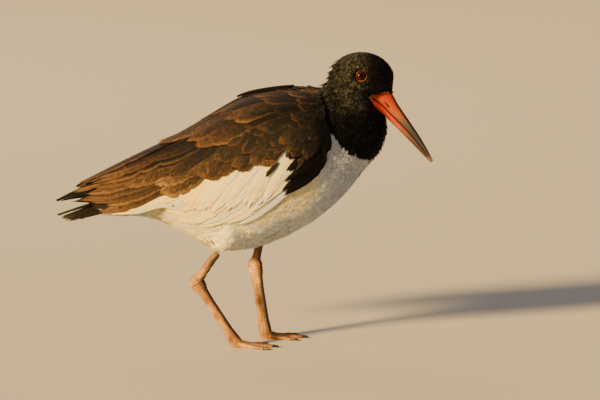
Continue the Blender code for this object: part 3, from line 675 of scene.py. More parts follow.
# %% [markdown]
# ## Plumage materials
#
# A feather is keratin drawn into hundreds of barbs. Its shine is a dull silk, so the roughness is
# high with a little sheen, and the IOR is that of keratin, 1.54. The barbs run out from the shaft
# to the edge at about forty degrees. Real barbs stand 0.3 mm apart, too fine for the picture, so
# they are drawn every 0.7 mm. Shaft, barbs and worn fringe all come from the stored millimetres.

# %% Feather recipe
KERATIN_IOR = 1.54
BARB_SPACING = 0.7


def feather_material(
    name, centre, fringe, root, shaft, fringe_width, gloss,
    root_band=(0.5, 0.0, 0.85), mottle=(3.0, 0.7), painted_edge_shadow=1.0,
):
    """Keratin vanes: a centre, a fringe of two colours, a root colour and a shaft.

    The root band is where the root colour ends, where it is full, and how strong it is; on brown
    and white vanes the root colour is partly painted shade where the feather in front overlaps
    them. The mottle is the size of the worn patches in millimetres, and their strength. The
    painted edge shadow darkens the vane's very edge, as painted shadow where it stands over the
    next vane.
    """
    root_end, root_full, root_strength = root_band
    patch_size, patch_strength = mottle
    material, tree, shader = new_material(
        name, IOR=KERATIN_IOR, Roughness=0.62, Sheen_Weight=gloss / 4, Sheen_Roughness=0.5,
        Specular_IOR_Level=gloss,
    )
    vane = add(tree, "Attribute", {"attribute_name": "vane"}).node
    tone = add(tree, "Attribute", {"attribute_name": "tone"}).node
    place = add(tree, "SeparateXYZ", links={0: vane.outputs["Vector"]}).node.outputs
    shades = add(tree, "SeparateColor", links={0: tone.outputs["Color"]}).node.outputs
    where = add(tree, "NewGeometry").node.outputs["Position"]
    aside = add(tree, "Math", {"operation": "ABSOLUTE"}, {0: place["X"]})
    reach = add(tree, "Math", {"operation": "SUBTRACT"}, {0: place["Y"], 1: aside})
    wear = add(tree, "TexNoise", {"Scale": 1000 / patch_size, "Detail": 3.0}, {"Vector": where})
    own = add(tree, "Math", {"operation": "MULTIPLY", 1: 70.0}, {0: shades["Red"]})
    barb_place = add(tree, "CombineXYZ", links={"X": reach, "Y": aside, "Z": own})
    barb_stretch = add(tree, "Mapping", {"Scale": (0.9, 0.14, 1.0)}, {"Vector": barb_place})
    streak = add(tree, "TexNoise", {"Scale": 1.0, "Detail": 2.0}, {"Vector": barb_stretch})
    waved = add(tree, "Math", {"operation": "MULTIPLY_ADD", 1: 1.4}, {0: wear, 2: reach})
    turns = add(tree, "Math", {"operation": "MULTIPLY", 1: math.tau / BARB_SPACING}, {0: waved})
    barbs = add(tree, "Math", {"operation": "SINE"}, {0: turns})
    spots = add(
        tree, "Math",
        {"operation": "MULTIPLY_ADD", 1: patch_strength, 2: -0.9 * patch_strength},
        {0: wear},
    )
    streaked = add(
        tree, "Math", {"operation": "MULTIPLY_ADD", 1: 0.8 * patch_strength}, {0: streak, 2: spots}
    )
    to_tip = tone.outputs["Alpha"]
    lit = add(tree, "Math", {"operation": "MULTIPLY_ADD", 1: 0.5, 2: -0.3}, {0: to_tip})
    graded = add(
        tree, "Math", {"operation": "MULTIPLY_ADD"}, {0: lit, 1: shades["Green"], 2: shades["Red"]}
    )
    shade = add(tree, "Math", {"operation": "ADD", "use_clamp": True}, {0: graded, 1: streaked})
    base = add(tree, "ValToRGB", {"stops": centre}, {0: shade})
    rim = add(tree, "ValToRGB", {"stops": fringe}, {0: shades["Blue"]})
    worn = add(tree, "Math", {"operation": "MULTIPLY_ADD", 1: 4.0, 2: -2.0}, {0: streak})
    inward = add(tree, "Math", {"operation": "ADD"}, {0: place["Z"], 1: worn})
    at_rim = add(
        tree, "MapRange",
        {"interpolation_type": "SMOOTHSTEP", "From Min": fringe_width, "From Max": 0.2},
        {0: inward},
    )
    rim_share = add(tree, "Math", {"operation": "MULTIPLY"}, {0: at_rim, 1: shades["Green"]})
    rimmed = add(tree, "Mix", MIX, {0: rim_share, 6: base, 7: rim})
    # The root colour: on the tail its real white base, on the brown and white vanes partly painted
    # shade where the feather in front overlaps them
    at_root = add(
        tree, "MapRange",
        {"From Min": root_end, "From Max": root_full, "To Max": root_strength},
        {0: to_tip},
    )
    rooted = add(tree, "Mix", {**MIX, 7: root}, {0: at_root, 6: rimmed})
    on_shaft = add(
        tree, "MapRange", {"From Min": 0.38, "From Max": 0.12, "To Max": 0.55}, {0: aside}
    )
    shafted = add(tree, "Mix", {**MIX, 7: shaft}, {0: on_shaft, 6: rooted})
    lines = add(
        tree, "MapRange",
        {"From Min": -1.0, "From Max": 1.0, "To Min": 0.84, "To Max": 1.06},
        {0: barbs},
    )
    lined = add(tree, "Mix", MULTIPLY, {6: shafted, 7: lines})
    # Painted shadow: the vane's very edge is darkened where it stands over the next vane
    edge_shadow_share = add(
        tree, "MapRange", {"From Min": 0.15, "From Max": 0.7, "To Min": painted_edge_shadow}, {0: place["Z"]}
    )
    edge_shadowed = add(tree, "Mix", MULTIPLY, {6: lined, 7: edge_shadow_share})
    tree.links.new(edge_shadowed, shader.inputs["Base Color"])
    bump = add(tree, "Bump", {"Strength": 0.35, "Distance": 0.0002}, {"Height": barbs})
    tree.links.new(bump, shader.inputs["Normal"])
    return material


print("barbs stand", BARB_SPACING, "mm apart")

# %% Plumage materials
black_hood = feather_material(
    "black_hood_feather",
    centre=[(0, "#010101"), (0.3, "#080707"), (0.6, "#221F1B"), (1, "#63615A")],
    fringe=[(0, "#060505"), (1, "#2A261D")],
    root="#040303",
    shaft="#050404",
    fringe_width=0.5,
    gloss=0.06,
    mottle=(0.9, 1.1),
)
# The white feathers take painted light: the ramp's bluish low end is painted shade, its cream high
# end and the cream fringe are painted sunlight, and the grey root is partly the feathers' own grey
# base and partly painted shade where feathers overlap
white_down = feather_material(
    "white_belly_feather",
    centre=[(0, "#8696B4"), (0.35, "#B8C1CC"), (0.65, "#E6D493"), (1, "#EAC25A")],
    fringe=[(0, "#ECE2BC"), (1, "#F1E6B8")],
    root="#98938A",
    shaft="#E6DFCE",
    fringe_width=0.9,
    gloss=0.25,
    root_band=(0.5, 0.0, 0.6),
    mottle=(3.0, 0.2),
)
# The near-black root is painted shade where the feather in front overlaps the vane, and the edge is
# darkened as painted shadow
worn_brown = feather_material(
    "worn_brown_feather",
    centre=[(0, "#040303"), (0.3, "#110A06"), (0.6, "#3C2819"), (1, "#785738")],
    fringe=[(0, "#3A2616"), (0.5, "#6A482C"), (1, "#AA8452")],
    root="#0A0605",
    shaft="#100B08",
    fringe_width=3.2,
    gloss=0.12,
    root_band=(0.8, 0.1, 0.85),
    painted_edge_shadow=0.45,
)
print("plumage:", black_hood.name, white_down.name, worn_brown.name)

# %% Skin piece, in the colours of the coat over it
TUFT_SIZE = 10 / 7  # millimetres: seven tufts of down in a centimetre, dull and mottled
material, tree, shader = new_material(
    "down_and_skin", Roughness=0.8, IOR=KERATIN_IOR, Specular_IOR_Level=0.2
)
tone = add(tree, "Attribute", {"attribute_name": "tone"}).node
where = add(tree, "NewGeometry").node.outputs["Position"]
weave = add(tree, "TexNoise", {"Scale": 1000 / TUFT_SIZE, "Detail": 4.0}, {"Vector": where})
spotted = add(tree, "MapRange", {"To Min": 0.75, "To Max": 1.1}, {0: weave})
skin_colour = add(tree, "Mix", MULTIPLY, {6: tone.outputs["Color"], 7: spotted})
tree.links.new(skin_colour, shader.inputs["Base Color"])
bump = add(tree, "Bump", {"Strength": 0.5, "Distance": 0.0004}, {"Height": weave})
tree.links.new(bump, shader.inputs["Normal"])

# Under white, black and brown feathers, and bare at the bill
SKIN_COLOURS = np.array([colour(code) for code in ("#D6D0C6", "#050404", "#160D08", "#D89A5A")])
calm = np.full((len(skin_points), 3), 0.5)
kinds, _ = plumage(skin_points, calm)
kinds[inside(skin_points, FLECKED)] = 3
skin = build_mesh(
    "body_skin", skin_points, skin_faces, material, tone=SKIN_COLOURS[kinds], uv=unwrap(skin_points)
)
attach(skin, "root")
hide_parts("torso", "neck", "head", "thigh_right", "thigh_left")
print("skin piece made")

# %% [markdown]
# ## The body feathers
#
# More than seven thousand small feathers cover the body. Hair particles could grow them, but
# they leave no mesh to keep, so each is real geometry, a copy of one of a few patterns:
# a velvet scale for the head, a rounded vane for the back, and a soft one for the belly whose tip
# parts into loose barbs. Roots are thrown at random on the skin and kept only where they stand
# their spacing apart, which spreads them as evenly as real follicles without any rows.


# %% Patterns of small feathers
def pattern(random, rows, columns, fingers=False, vane_end=1.0):
    """Across and along shares of the points, and the triangles, of one small feather.

    With fingers, the closed vane ends early and its barbs go on as single triangles.
    """
    along = np.linspace(0, vane_end, rows)
    across = np.linspace(-1, 1, columns + 1)
    width = np.clip(along / 0.35, 0.25, 1) ** 0.7
    if not fingers:
        width = width * np.sqrt(np.clip(1 - (np.clip(along - 0.5, 0, 1) / 0.5) ** 2, 0.02, 1))
    points = [
        (a * w, v + 0.10 * abs(a) * (v > 0) * (v < 0.95))
        for v, w in zip(along, width)
        for a in across
    ]
    triangles = []
    for r in range(rows - 1):
        for c in range(columns):
            k = r * (columns + 1) + c
            triangles += [(k, k + 1, k + columns + 2), (k, k + columns + 2, k + columns + 1)]
    if fingers:
        last = (rows - 1) * (columns + 1)
        for c in range(columns):
            middle = (across[c] + across[c + 1]) / 2
            tip = 1.02 - 0.28 * abs(middle) ** 1.5 - random.uniform(0, 0.16)
            points.append((middle * random.uniform(0.8, 1.25), tip))
            triangles.append((last + c, last + c + 1, len(points) - 1))
    return np.array(points), np.array(triangles)


chance = np.random.default_rng(11)
SCALES = [pattern(chance, rows=4, columns=2) for _ in range(3)]
ROUNDED = [pattern(chance, rows=7, columns=4) for _ in range(4)]
WISPY = [pattern(chance, rows=3, columns=4, fingers=True, vane_end=0.62) for _ in range(6)]
print("triangles of a pattern:", *(len(p[0][1]) for p in (SCALES, ROUNDED, WISPY)))


# %% Laying copies on the skin
ROOT_LIFT = 0.15  # millimetres over the skin
CUP = 0.16  # how far a vane's edges bend down, as a share of its half width
TWIST = 0.12  # how far feathers lean to a side, as a share of their half width
DEEPEST, HIGHEST = -0.6, 0.4  # how far a tip follows the skin down or up, as shares of its length


def lay(name, roots, normals, headings, sizes, rises, patterns, material, tones, random):
    """One mesh of many small feathers that follow the skin under them."""
    sides = np.cross(normals, headings)
    ahead = roots + headings * sizes[:, :1]
    near = np.array([skin_tree.find_nearest(Vector(point))[0] for point in ahead])
    fall = ((near - roots) * normals).sum(1)
    fall = np.clip(fall, DEEPEST * sizes[:, 0], HIGHEST * sizes[:, 0])
    pick = random.integers(0, len(patterns), len(roots))
    twist = random.normal(0, TWIST, len(roots))
    all_points, all_faces, vanes, all_tones, uvs, count = [], [], [], [], [], 0
    centres = unwrap(roots)
    for index, (shape, triangles) in enumerate(patterns):
        chosen = np.flatnonzero(pick == index)
        u, v = shape[:, 0][None, :], shape[:, 1][None, :]
        long, wide = sizes[chosen, :1], sizes[chosen, 1:2] / 2
        bend = wide * (twist[chosen, None] * u - CUP * u**2)
        height = fall[chosen, None] * v**2 + ROOT_LIFT + rises[chosen, None] * v + bend
        points = (
            roots[chosen, None]
            + headings[chosen, None] * (long * v)[..., None]
            + sides[chosen, None] * (wide * u)[..., None]
            + normals[chosen, None] * height[..., None]
        )
        edge = np.minimum(wide * (1 - np.abs(u)), long * np.clip(1 - v, 0, 1))
        vanes.append(np.stack((u * wide, v * long, edge), 2).reshape(-1, 3))
        tone = np.repeat(tones[chosen, None], len(shape), 1)
        tone = np.concatenate((tone, np.broadcast_to(v, tone.shape[:2])[..., None]), 2)
        all_tones.append(tone.reshape(-1, 4))
        uv = centres[chosen, None] + PATCH * np.stack((u / 2 + 0 * long, v - 0.5 + 0 * long), 2)
        uvs.append(uv.reshape(-1, 2))
        faces = triangles[None] + (count + np.arange(len(chosen)) * len(shape))[:, None, None]
        all_faces.append(faces.reshape(-1, 3))
        all_points.append(points.reshape(-1, 3))
        count += len(chosen) * len(shape)
    made = build_mesh(
        name, *(np.concatenate(part) for part in (all_points, all_faces)), material,
        np.concatenate(vanes), np.concatenate(all_tones), np.concatenate(uvs),
    )
    print(name, len(roots), "feathers,", len(made.data.polygons), "triangles")
    return made


# %% Throwing roots and spreading them
def throw(points, faces, count, random):
    """Random points on faces, as many on a face as its area asks."""
    corners = points[faces]
    crossed = np.cross(corners[:, 2] - corners[:, 0], corners[:, 3] - corners[:, 1])
    area = np.linalg.norm(crossed, axis=1)
    chosen = np.searchsorted(np.cumsum(area) / area.sum(), random.random(count))
    u, v = random.random((2, count, 1))
    a, b, c, d = corners[chosen].transpose(1, 0, 2)
    normal = skin_normals[faces[chosen]].mean(1)
    return (a * (1 - u) + b * u) * (1 - v) + (d * (1 - u) + c * u) * v, unit(normal)


def spread(points, spacings):
    """Numbers of the points that are kept so that none stands too near another."""
    kept, cells, cell = [], {}, spacings.max()
    keys = np.floor(points / cell).astype(int).tolist()
    steps = [(i, j, k) for i in (-1, 0, 1) for j in (-1, 0, 1) for k in (-1, 0, 1)]
    squares = (spacings**2).tolist()
    for number, ((i, j, k), point, square) in enumerate(zip(keys, points.tolist(), squares)):
        near = (other for a, b, c in steps for other in cells.get((i + a, j + b, k + c), ()))
        x, y, z = point
        if all((x - o[0]) ** 2 + (y - o[1]) ** 2 + (z - o[2]) ** 2 > square for o in near):
            cells.setdefault((i, j, k), []).append(point)
            kept.append(number)
    return np.array(kept)


def along_skin(directions, normals):
    """Directions laid flat on the skin."""
    return unit(directions - normals * (directions * normals).sum(1, keepdims=True))


trial = np.array([(0, 0, 0), (1, 0, 0), (3, 0, 0)], float)
print("of points at 0, 1 and 3 mm, a spacing of 2 mm keeps", spread(trial, np.full(3, 2.0)))

# %% Roots on the skin
THROWN, THINNED = 90000, 0.9  # random roots, and the share of them that is left out near the bill
LID_REACH, UNDER_WING, REAR_END = 5.2, 3.4, -118  # millimetres
HEADING_STRAY = 0.10  # how far feathers point aside, as a share of their length
DYED_AT = 0.75  # share of the length at which a feather takes its colour
FEATHER_BANDS = ((0, 3.0, 0.52), (3.0, 5.0, 0.48), (5.0, 99, 0.40))  # widths, and spacing share

chance = np.random.default_rng(3)
roots, root_normals = throw(skin_points, skin_faces, THROWN, chance)
on_left = roots * np.where(roots[:, 1:2] < 0, (1, RIGHT, 1), 1)

covering = (grid_down > 0.05) & (grid_down < wing_hem(grid_place) - 0.06)
covering &= (grid_place > 0.2) & (grid_place < 9.9)
wing_points = BED.reshape(-1, 3)[covering][::3]
wing_tree = KDTree(len(wing_points))
for k, point in enumerate(wing_points):
    wing_tree.insert(point, k)
wing_tree.balance()
covered = np.array([wing_tree.find(point)[2] < UNDER_WING for point in on_left])
on_lid = np.linalg.norm(on_left - EYE_CENTRE, axis=1) <= LID_REACH
thin = inside(roots, FLECKED) & (chance.random(len(roots)) < THINNED)
free = ~covered & ~on_lid & ~inside(roots, BARE) & ~thin & (roots[:, 0] > REAR_END)
roots, root_normals = roots[free], root_normals[free]

headings, lengths, widths = guided(roots)
headings = along_skin(headings, root_normals)
strays = chance.normal(0, HEADING_STRAY, headings.shape)
headings = along_skin(unit(headings + strays), root_normals)
random = chance.random((len(roots), 3))
kinds, shades = plumage(roots + headings * lengths[:, None] * DYED_AT, random)
chosen = []
for low, high, share in FEATHER_BANDS:
    band = np.flatnonzero((widths >= low) & (widths < high))
    chosen.append(band[spread(roots[band], widths[band] * share)])
chosen = np.concatenate(chosen)
print(len(chosen), "roots of", len(roots))
roots, root_normals, headings, lengths, widths, random, kinds, shades = (
    a[chosen] for a in (roots, root_normals, headings, lengths, widths, random, kinds, shades)
)

# %% Coats of the body
SCALE_LENGTH, BREAST_FROM, BRISTLE = 6.5, 45, 4.2  # millimetres
depths = coat_depth(roots)
sizes = np.stack((lengths, widths), 1) * (0.85 + 0.35 * random[:, 1:2])
tones = np.stack((shades, 0.35 + 0.5 * random[:, 0], random[:, 2]), 1)
small, front = lengths < SCALE_LENGTH, roots[:, 0] > BREAST_FROM
COATS = {  # which feathers, patterns, material, slot, nodes they stand for
    "hood_feathers": ((kinds == 1) & small, SCALES, black_hood, "black_plumage", ("head", "neck")),
    "neck_feathers": ((kinds == 1) & ~small, WISPY, black_hood, "black_plumage", ("neck",)),
    "breast_feathers": ((kinds == 0) & front, WISPY, white_down, "white_plumage", ("torso",)),
    "belly_feathers": ((kinds == 0) & ~front, WISPY, white_down, "white_plumage", ("torso",)),
    "back_feathers": (kinds == 2, ROUNDED, worn_brown, "brown_plumage", ("torso",)),
}
for name, (mask, patterns, material, slot, nodes) in COATS.items():
    shaggy = blend(88, 76, roots[mask, 0]) * blend(200, 212, roots[mask, 2])  # the nape bristles
    loose = np.where(kinds[mask] == 0, 0.4, 0.8)
    rise = depths[mask] * (0.7 + loose * random[mask, 2])
    rise = rise + BRISTLE * shaggy * random[mask, 0] ** 3
    coat = lay(
        name, roots[mask], root_normals[mask], headings[mask], sizes[mask], rise, patterns,
        material, tones[mask], np.random.default_rng(21),
    )
    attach(coat, "root")
    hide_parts(*nodes)

# %% [markdown]
# ## The folded wings
#
# A folded wing is a fan that has been shut: long primaries at the bottom, tertials over them, and
# rows of coverts and scapulars over those like roof tiles. Cards with a picture of feathers would
# be quicker, but flat at every edge that the low lamp grazes. Each feather is laid from its root to
# its tip, both given on the bed as place and down. Rows of points run along the barbs, swept
# toward the tip, so a gap in the edge opens along the barbs as it does on a worn feather.


# %% Outlines of the large feathers
OUTLINES = {  # where the root has opened, where the tip begins, and how it bends and closes
    "round": (0.30, 0.60, 2.0, 0.50),
    "long": (0.14, 0.78, 2.0, 0.55),
    "pointed": (0.12, 0.55, 1.7, 0.9),
    "tapered": (0.14, 0.58, 1.9, 0.80),
}


def outline(s, form):
    """Half width as a share, from root (0) to tip (1)."""
    opening, shoulder, bend, power = OUTLINES[form]
    root = np.clip(s / opening, 0, 1) ** 0.6
    tip = np.clip(1 - (np.clip(s - shoulder, 0, 1) / (1 - shoulder)) ** bend, 0, 1) ** power
    return np.maximum(root * tip, 0.03)


ROWS, COLUMNS = 30, 10
TIP_CROWDING = 1.3  # rows of points stand closer toward the tip
BARB_SWEEP = 0.75  # how far a barb runs ahead for each millimetre aside
LEAN, CAMBER = 0.8, 0.08  # millimetres by which edges overlap, and share of the width
EDGE_KNOTS, EDGE_WEAR = 12, 0.05  # wavy edges: knots along the vane, and share of its half width
NOTCH_DEPTH, NOTCH_WIDTH = (0.08, 0.30), 0.022  # shares of the half width, and of the length


def wing_feather(root, tip, width, lift, rise, form, notches, relief, chance):
    """Points of one feather of the left wing, and its millimetre map."""
    s = 1 - (1 - np.linspace(0, 1, ROWS)) ** TIP_CROWDING
    c = np.linspace(-1, 1, COLUMNS + 1)
    move = np.array(tip) - root
    middle = np.array(root) + np.outer(s, move)
    point, normal, along, down, _ = read_wing(*middle.T)
    heading = along * move[0] + down * move[1]
    length = np.linalg.norm(np.diff(point, axis=0), axis=1).sum()
    aside = unit(np.cross(heading, normal))
    ahead = unit(heading)
    ragged = np.ones((ROWS, 2))
    for side in (0, 1):
        waves = chance.normal(0, EDGE_WEAR, EDGE_KNOTS)
        ragged[:, side] += np.interp(s, np.linspace(0, 1, EDGE_KNOTS), waves)
        for _ in range(chance.poisson(notches)):
            where = chance.uniform(0.35, 0.97)
            notch = np.exp(-(((s - where) / NOTCH_WIDTH) ** 2))
            ragged[:, side] -= chance.uniform(*NOTCH_DEPTH) * notch
    half = width / 2 * outline(s, form)
    across = c[None, :] * half[:, None] * np.where(c < 0, ragged[:, :1], ragged[:, 1:])
    swept = BARB_SWEEP * np.abs(across) * np.clip((1 - s) / 0.35, 0, 1)[:, None]
    swept = swept + chance.normal(0, 0.25 + 0.25 * notches, COLUMNS + 1) * s[:, None] ** 8
    target = aside[:, None] * across[..., None] + ahead[:, None] * swept[..., None]

    # From millimetres beside and ahead of the shaft back to place and down on the bed
    aa, ad, dd = (along**2).sum(1), (along * down).sum(1), (down**2).sum(1)
    ta, td = (target * along[:, None]).sum(2), (target * down[:, None]).sum(2)
    scale = (aa * dd - ad**2)[:, None]
    places = middle[:, :1] + (ta * dd[:, None] - td * ad[:, None]) / scale
    downs = middle[:, 1:] + (td * aa[:, None] - ta * ad[:, None]) / scale

    # Up from the bed: over the slab, with the lower edge over the next feather
    point, normal, _, _, slab = read_wing(places, downs)
    lean = LEAN * relief * c[None, :] * (aside[:, None] * unit(down)[:, None]).sum(2)
    camber = CAMBER * relief * width * (1 - c**2)[None, :]
    height = GAP + slab + lift + rise * s[:, None] ** 1.3 + lean + camber
    point = point + normal * height[..., None]
    edge = np.minimum(half[:, None] * (1 - np.abs(c)), length * (1 - s)[:, None] + 0 * c)
    vane = np.stack((across, np.broadcast_to(s[:, None] * length, across.shape) + swept, edge), 2)
    return point.reshape(-1, 3), vane.reshape(-1, 3), np.repeat(s, COLUMNS + 1)


VANE_FACES = grid_quads(ROWS, COLUMNS + 1)
print("points of a large feather:", ROWS * (COLUMNS + 1))

# %% [markdown]
# The tiers go from the lowest to the highest. `first` and `last` are the ends of a tier, and its
# feathers are spaced evenly between them. Width, lift at the root and rise to the tip are in
# millimetres, and `notches` is how many gaps each edge has on average. The tones are the shade,
# and the strength and the paleness of the fringe: the shoulder is nearly black, the mantle and
# the scapulars are brown with rufous rims, and the worn tertials are faded and ragged.

# %% Tiers of the wing
# The shade of the white vanes is painted sunlight: the higher it is, the creamier the vane
TIERS = {  # count, roots first and last, tips first and last,
    # width, lift, rise, form, notches, colour, tones first and last
    "primaries": (
        6, (3.6, 0.40), (4.2, 0.72), (-0.10, 0.28), (0.85, 0.66),
        8.5, 0.2, 0.6, "pointed", 0.5, "black", (0.2, 0.1, 0), (0.3, 0.2, 0),
    ),
    "greater_coverts": (
        19, (8.6, 0.62), (5.1, 0.52), (7.3, 0.93), (4.0, 0.93),
        11, 0.2, 0.7, "tapered", 4.0, "white", (0.5, 0.4, 1), (0.85, 0.3, 1),
    ),
    "white_flank": (
        15, (9.1, 0.82), (6.2, 0.80), (6.7, 1.06), (4.2, 1.08),
        8.5, 0.6, -2.2, "tapered", 4.0, "white", (0.5, 0.3, 1), (0.8, 0.3, 1),
    ),
    # Thin bluish-grey vanes laid over the white as painted shadow lines where the flank's feathers
    # part
    "painted_shadow_lines": (
        5, (8.0, 0.92), (7.0, 0.66), (7.0, 1.02), (5.9, 0.88),
        0.9, 1.0, 0.5, "pointed", 0.0, "white", (0.25, 0, 0), (0.25, 0, 0),
    ),
    "white_strip": (
        4, (5.4, 0.88), (4.8, 0.80), (2.1, 1.03), (3.0, 0.99),
        7, 0.6, 0.6, "pointed", 1.0, "white", (0.6, 0.5, 1), (0.7, 0.5, 1),
    ),
    "notch_spots": (
        2, (8.36, 0.67), (7.88, 0.74), (8.12, 0.72), (7.64, 0.80),
        3.6, 1.3, 0.8, "round", 2.0, "brown", (0.1, 0.2, 0.3), (0.15, 0.2, 0.3),
    ),
    "edge_of_wing": (
        13, (9.75, 0.50), (9.6, 0.84), (8.45, 0.63), (7.84, 0.97),
        7.5, 0.6, 1.2, "pointed", 0.3, "black", (0.15, 0.1, 0), (0.03, 0, 0),
    ),
    "wedge_covert": (
        1, (9.05, 0.66), (9.05, 0.66), (8.50, 0.82), (8.50, 0.82),
        5.0, 1.4, 1.2, "round", 0.5, "brown", (0.1, 0.45, 0.2), (0.1, 0.45, 0.2),
    ),
    "low_secondaries": (
        5, (5.7, 0.52), (5.3, 0.66), (1.15, 0.66), (1.85, 0.92),
        9.5, 0.7, 1.0, "tapered", 4.0, "brown", (0.45, 0.7, 0.4), (0.65, 0.9, 0.6),
    ),
    "rear_tertials": (
        5, (5.8, 0.38), (6.0, 0.56), (0.9, 0.34), (1.5, 0.66),
        11, 1.0, 1.2, "tapered", 5.0, "brown", (0.35, 0.8, 0.3), (0.55, 0.9, 0.5),
    ),
    "broad_secondaries": (
        4, (6.1, 0.58), (6.0, 0.46), (4.15, 0.77), (2.9, 0.60),
        12.5, 1.2, 1.5, "round", 5.0, "brown", (0.6, 0.9, 0.6), (0.55, 0.9, 0.5),
    ),
    "upper_tertials": (
        6, (6.1, 0.36), (6.2, 0.08), (1.8, 0.42), (1.2, 0.06),
        11.5, 1.2, 1.6, "tapered", 4.0, "brown", (0.4, 0.9, 0.4), (0.4, 0.9, 0.3),
    ),
    # A thin black vane that stands for the shadow in the slit between the tertials and the lower
    # secondaries, as a painted shadow
    "shadow_slit_vane": (
        1, (5.4, 0.16), (5.4, 0.16), (2.4, 0.22), (2.4, 0.22),
        2.6, 3.3, 0.2, "pointed", 0.5, "black", (0.05, 0, 0), (0.05, 0, 0),
    ),
    "rear_coverts": (
        6, (6.8, 0.50), (6.2, 0.42), (5.5, 0.66), (4.4, 0.58),
        12, 1.3, 1.7, "round", 2.0, "brown", (0.52, 0.7, 0.35), (0.52, 0.7, 0.35),
    ),
    "median_coverts": (
        7, (8.6, 0.50), (6.8, 0.50), (7.65, 0.71), (5.7, 0.71),
        14, 1.0, 1.9, "round", 2.0, "brown", (0.4, 0.6, 0.25), (0.45, 0.7, 0.4),
    ),
    "front_coverts": (
        6, (9.6, 0.46), (8.7, 0.44), (8.90, 0.75), (7.90, 0.63),
        11.5, 1.1, 1.8, "round", 1.5, "brown", (0.06, 0.3, 0.1), (0.38, 0.55, 0.2),
    ),
    "lesser_low": (
        8, (9.8, 0.44), (6.8, 0.40), (9.2, 0.62), (5.9, 0.60),
        13.0, 1.0, 1.9, "round", 1.0, "brown", (0.02, 0.2, 0.1), (0.38, 0.6, 0.25),
    ),
    "lesser_high": (
        7, (9.9, 0.32), (7.3, 0.32), (9.35, 0.52), (6.4, 0.51),
        13.0, 1.0, 1.8, "round", 1.0, "brown", (0.0, 0.1, 0.1), (0.28, 0.6, 0.2),
    ),
    "shoulder_low": (
        8, (10.35, 0.62), (10.2, 0.30), (9.55, 0.78), (9.35, 0.46),
        8.0, 1.0, 1.4, "round", 0.8, "black", (0.05, 0, 0), (0.1, 0.2, 0.1),
    ),
    "long_scapulars": (
        5, (7.6, 0.06), (7.9, 0.34), (4.4, 0.06), (5.9, 0.44),
        16, 1.6, 1.6, "round", 1.5, "brown", (0.52, 0.8, 0.45), (0.42, 0.75, 0.35),
    ),
    "middle_scapulars": (
        6, (8.6, 0.06), (9.0, 0.36), (5.9, 0.05), (7.3, 0.46),
        15.5, 1.2, 1.7, "round", 1.2, "brown", (0.42, 0.75, 0.3), (0.30, 0.65, 0.2),
    ),
    "upper_scapulars": (
        6, (9.3, 0.06), (9.6, 0.36), (7.2, 0.06), (8.5, 0.47),
        12.5, 1.0, 1.6, "round", 1.0, "brown", (0.35, 0.9, 0.3), (0.05, 0.5, 0.1),
    ),
    "mantle_low": (
        7, (9.9, 0.05), (10.1, 0.36), (8.4, 0.06), (9.2, 0.44),
        9.0, 0.9, 1.5, "round", 0.8, "brown", (0.35, 0.9, 0.3), (0.0, 0.2, 0.1),
    ),
    "mantle_high": (
        9, (10.72, 0.0), (10.55, 0.36), (9.5, 0.03), (9.75, 0.40),
        7.5, 0.8, 1.6, "round", 0.6, "brown", (0.35, 0.8, 0.2), (0.0, 0.1, 0.0),
    ),
    "raised_scapular": (
        1, (8.8, 0.03), (8.8, 0.03), (6.85, 0.02), (6.85, 0.02),
        8.0, 2.6, 2.2, "tapered", 0.5, "black", (0.12, 0.2, 0.5), (0.12, 0.2, 0.5),
    ),
}
print(sum(row[0] for row in TIERS.values()), "feathers in", len(TIERS), "tiers")

# %% Feathers of both wings
LEFT_ONLY = {"raised_scapular"}
RAGGED = {"low_secondaries", "rear_tertials", "broad_secondaries", "upper_tertials"}  # uneven tips
PLUMES = {
    "black": (black_hood, "black_plumage"),
    "white": (white_down, "white_plumage"),
    "brown": (worn_brown, "brown_plumage"),
}
WHITE_RELIEF = 0.45  # white vanes lie flatter
PATCH_WIDE = 20  # millimetres of vane across a patch of the map
SHAFT_ROOT = COLUMNS // 2  # number of the point where the shaft starts

# How far roots and tips stray in place and down, and the three tones in their own shares
ROOT_STRAY, TIP_STRAY, WORN_STRAY = (0.05, 0.007), (0.13, 0.018), (0.28, 0.03)
TONE_STRAY = (0.1, 0.16, 0.16)
WIDTHS, RISES = (0.92, 1.1), (0.75, 1.3)  # the narrowest and widest, the flattest and highest
LIFT_STRAY, LIFT_STEP = 0.12, 0.05  # millimetres, at random and for every second feather


def between(first, last, share):
    """A value on the way from the first to the last."""
    return np.array(first) + share * (np.array(last) - first)


def patches(first_points, vane, along):
    """Map coordinates of large feathers, each round the place of one point near its root."""
    centres = np.repeat(unwrap(first_points), len(vane) // len(first_points), 0)
    return centres + PATCH * np.stack((vane[:, 0] / PATCH_WIDE, along - 0.5), 1)


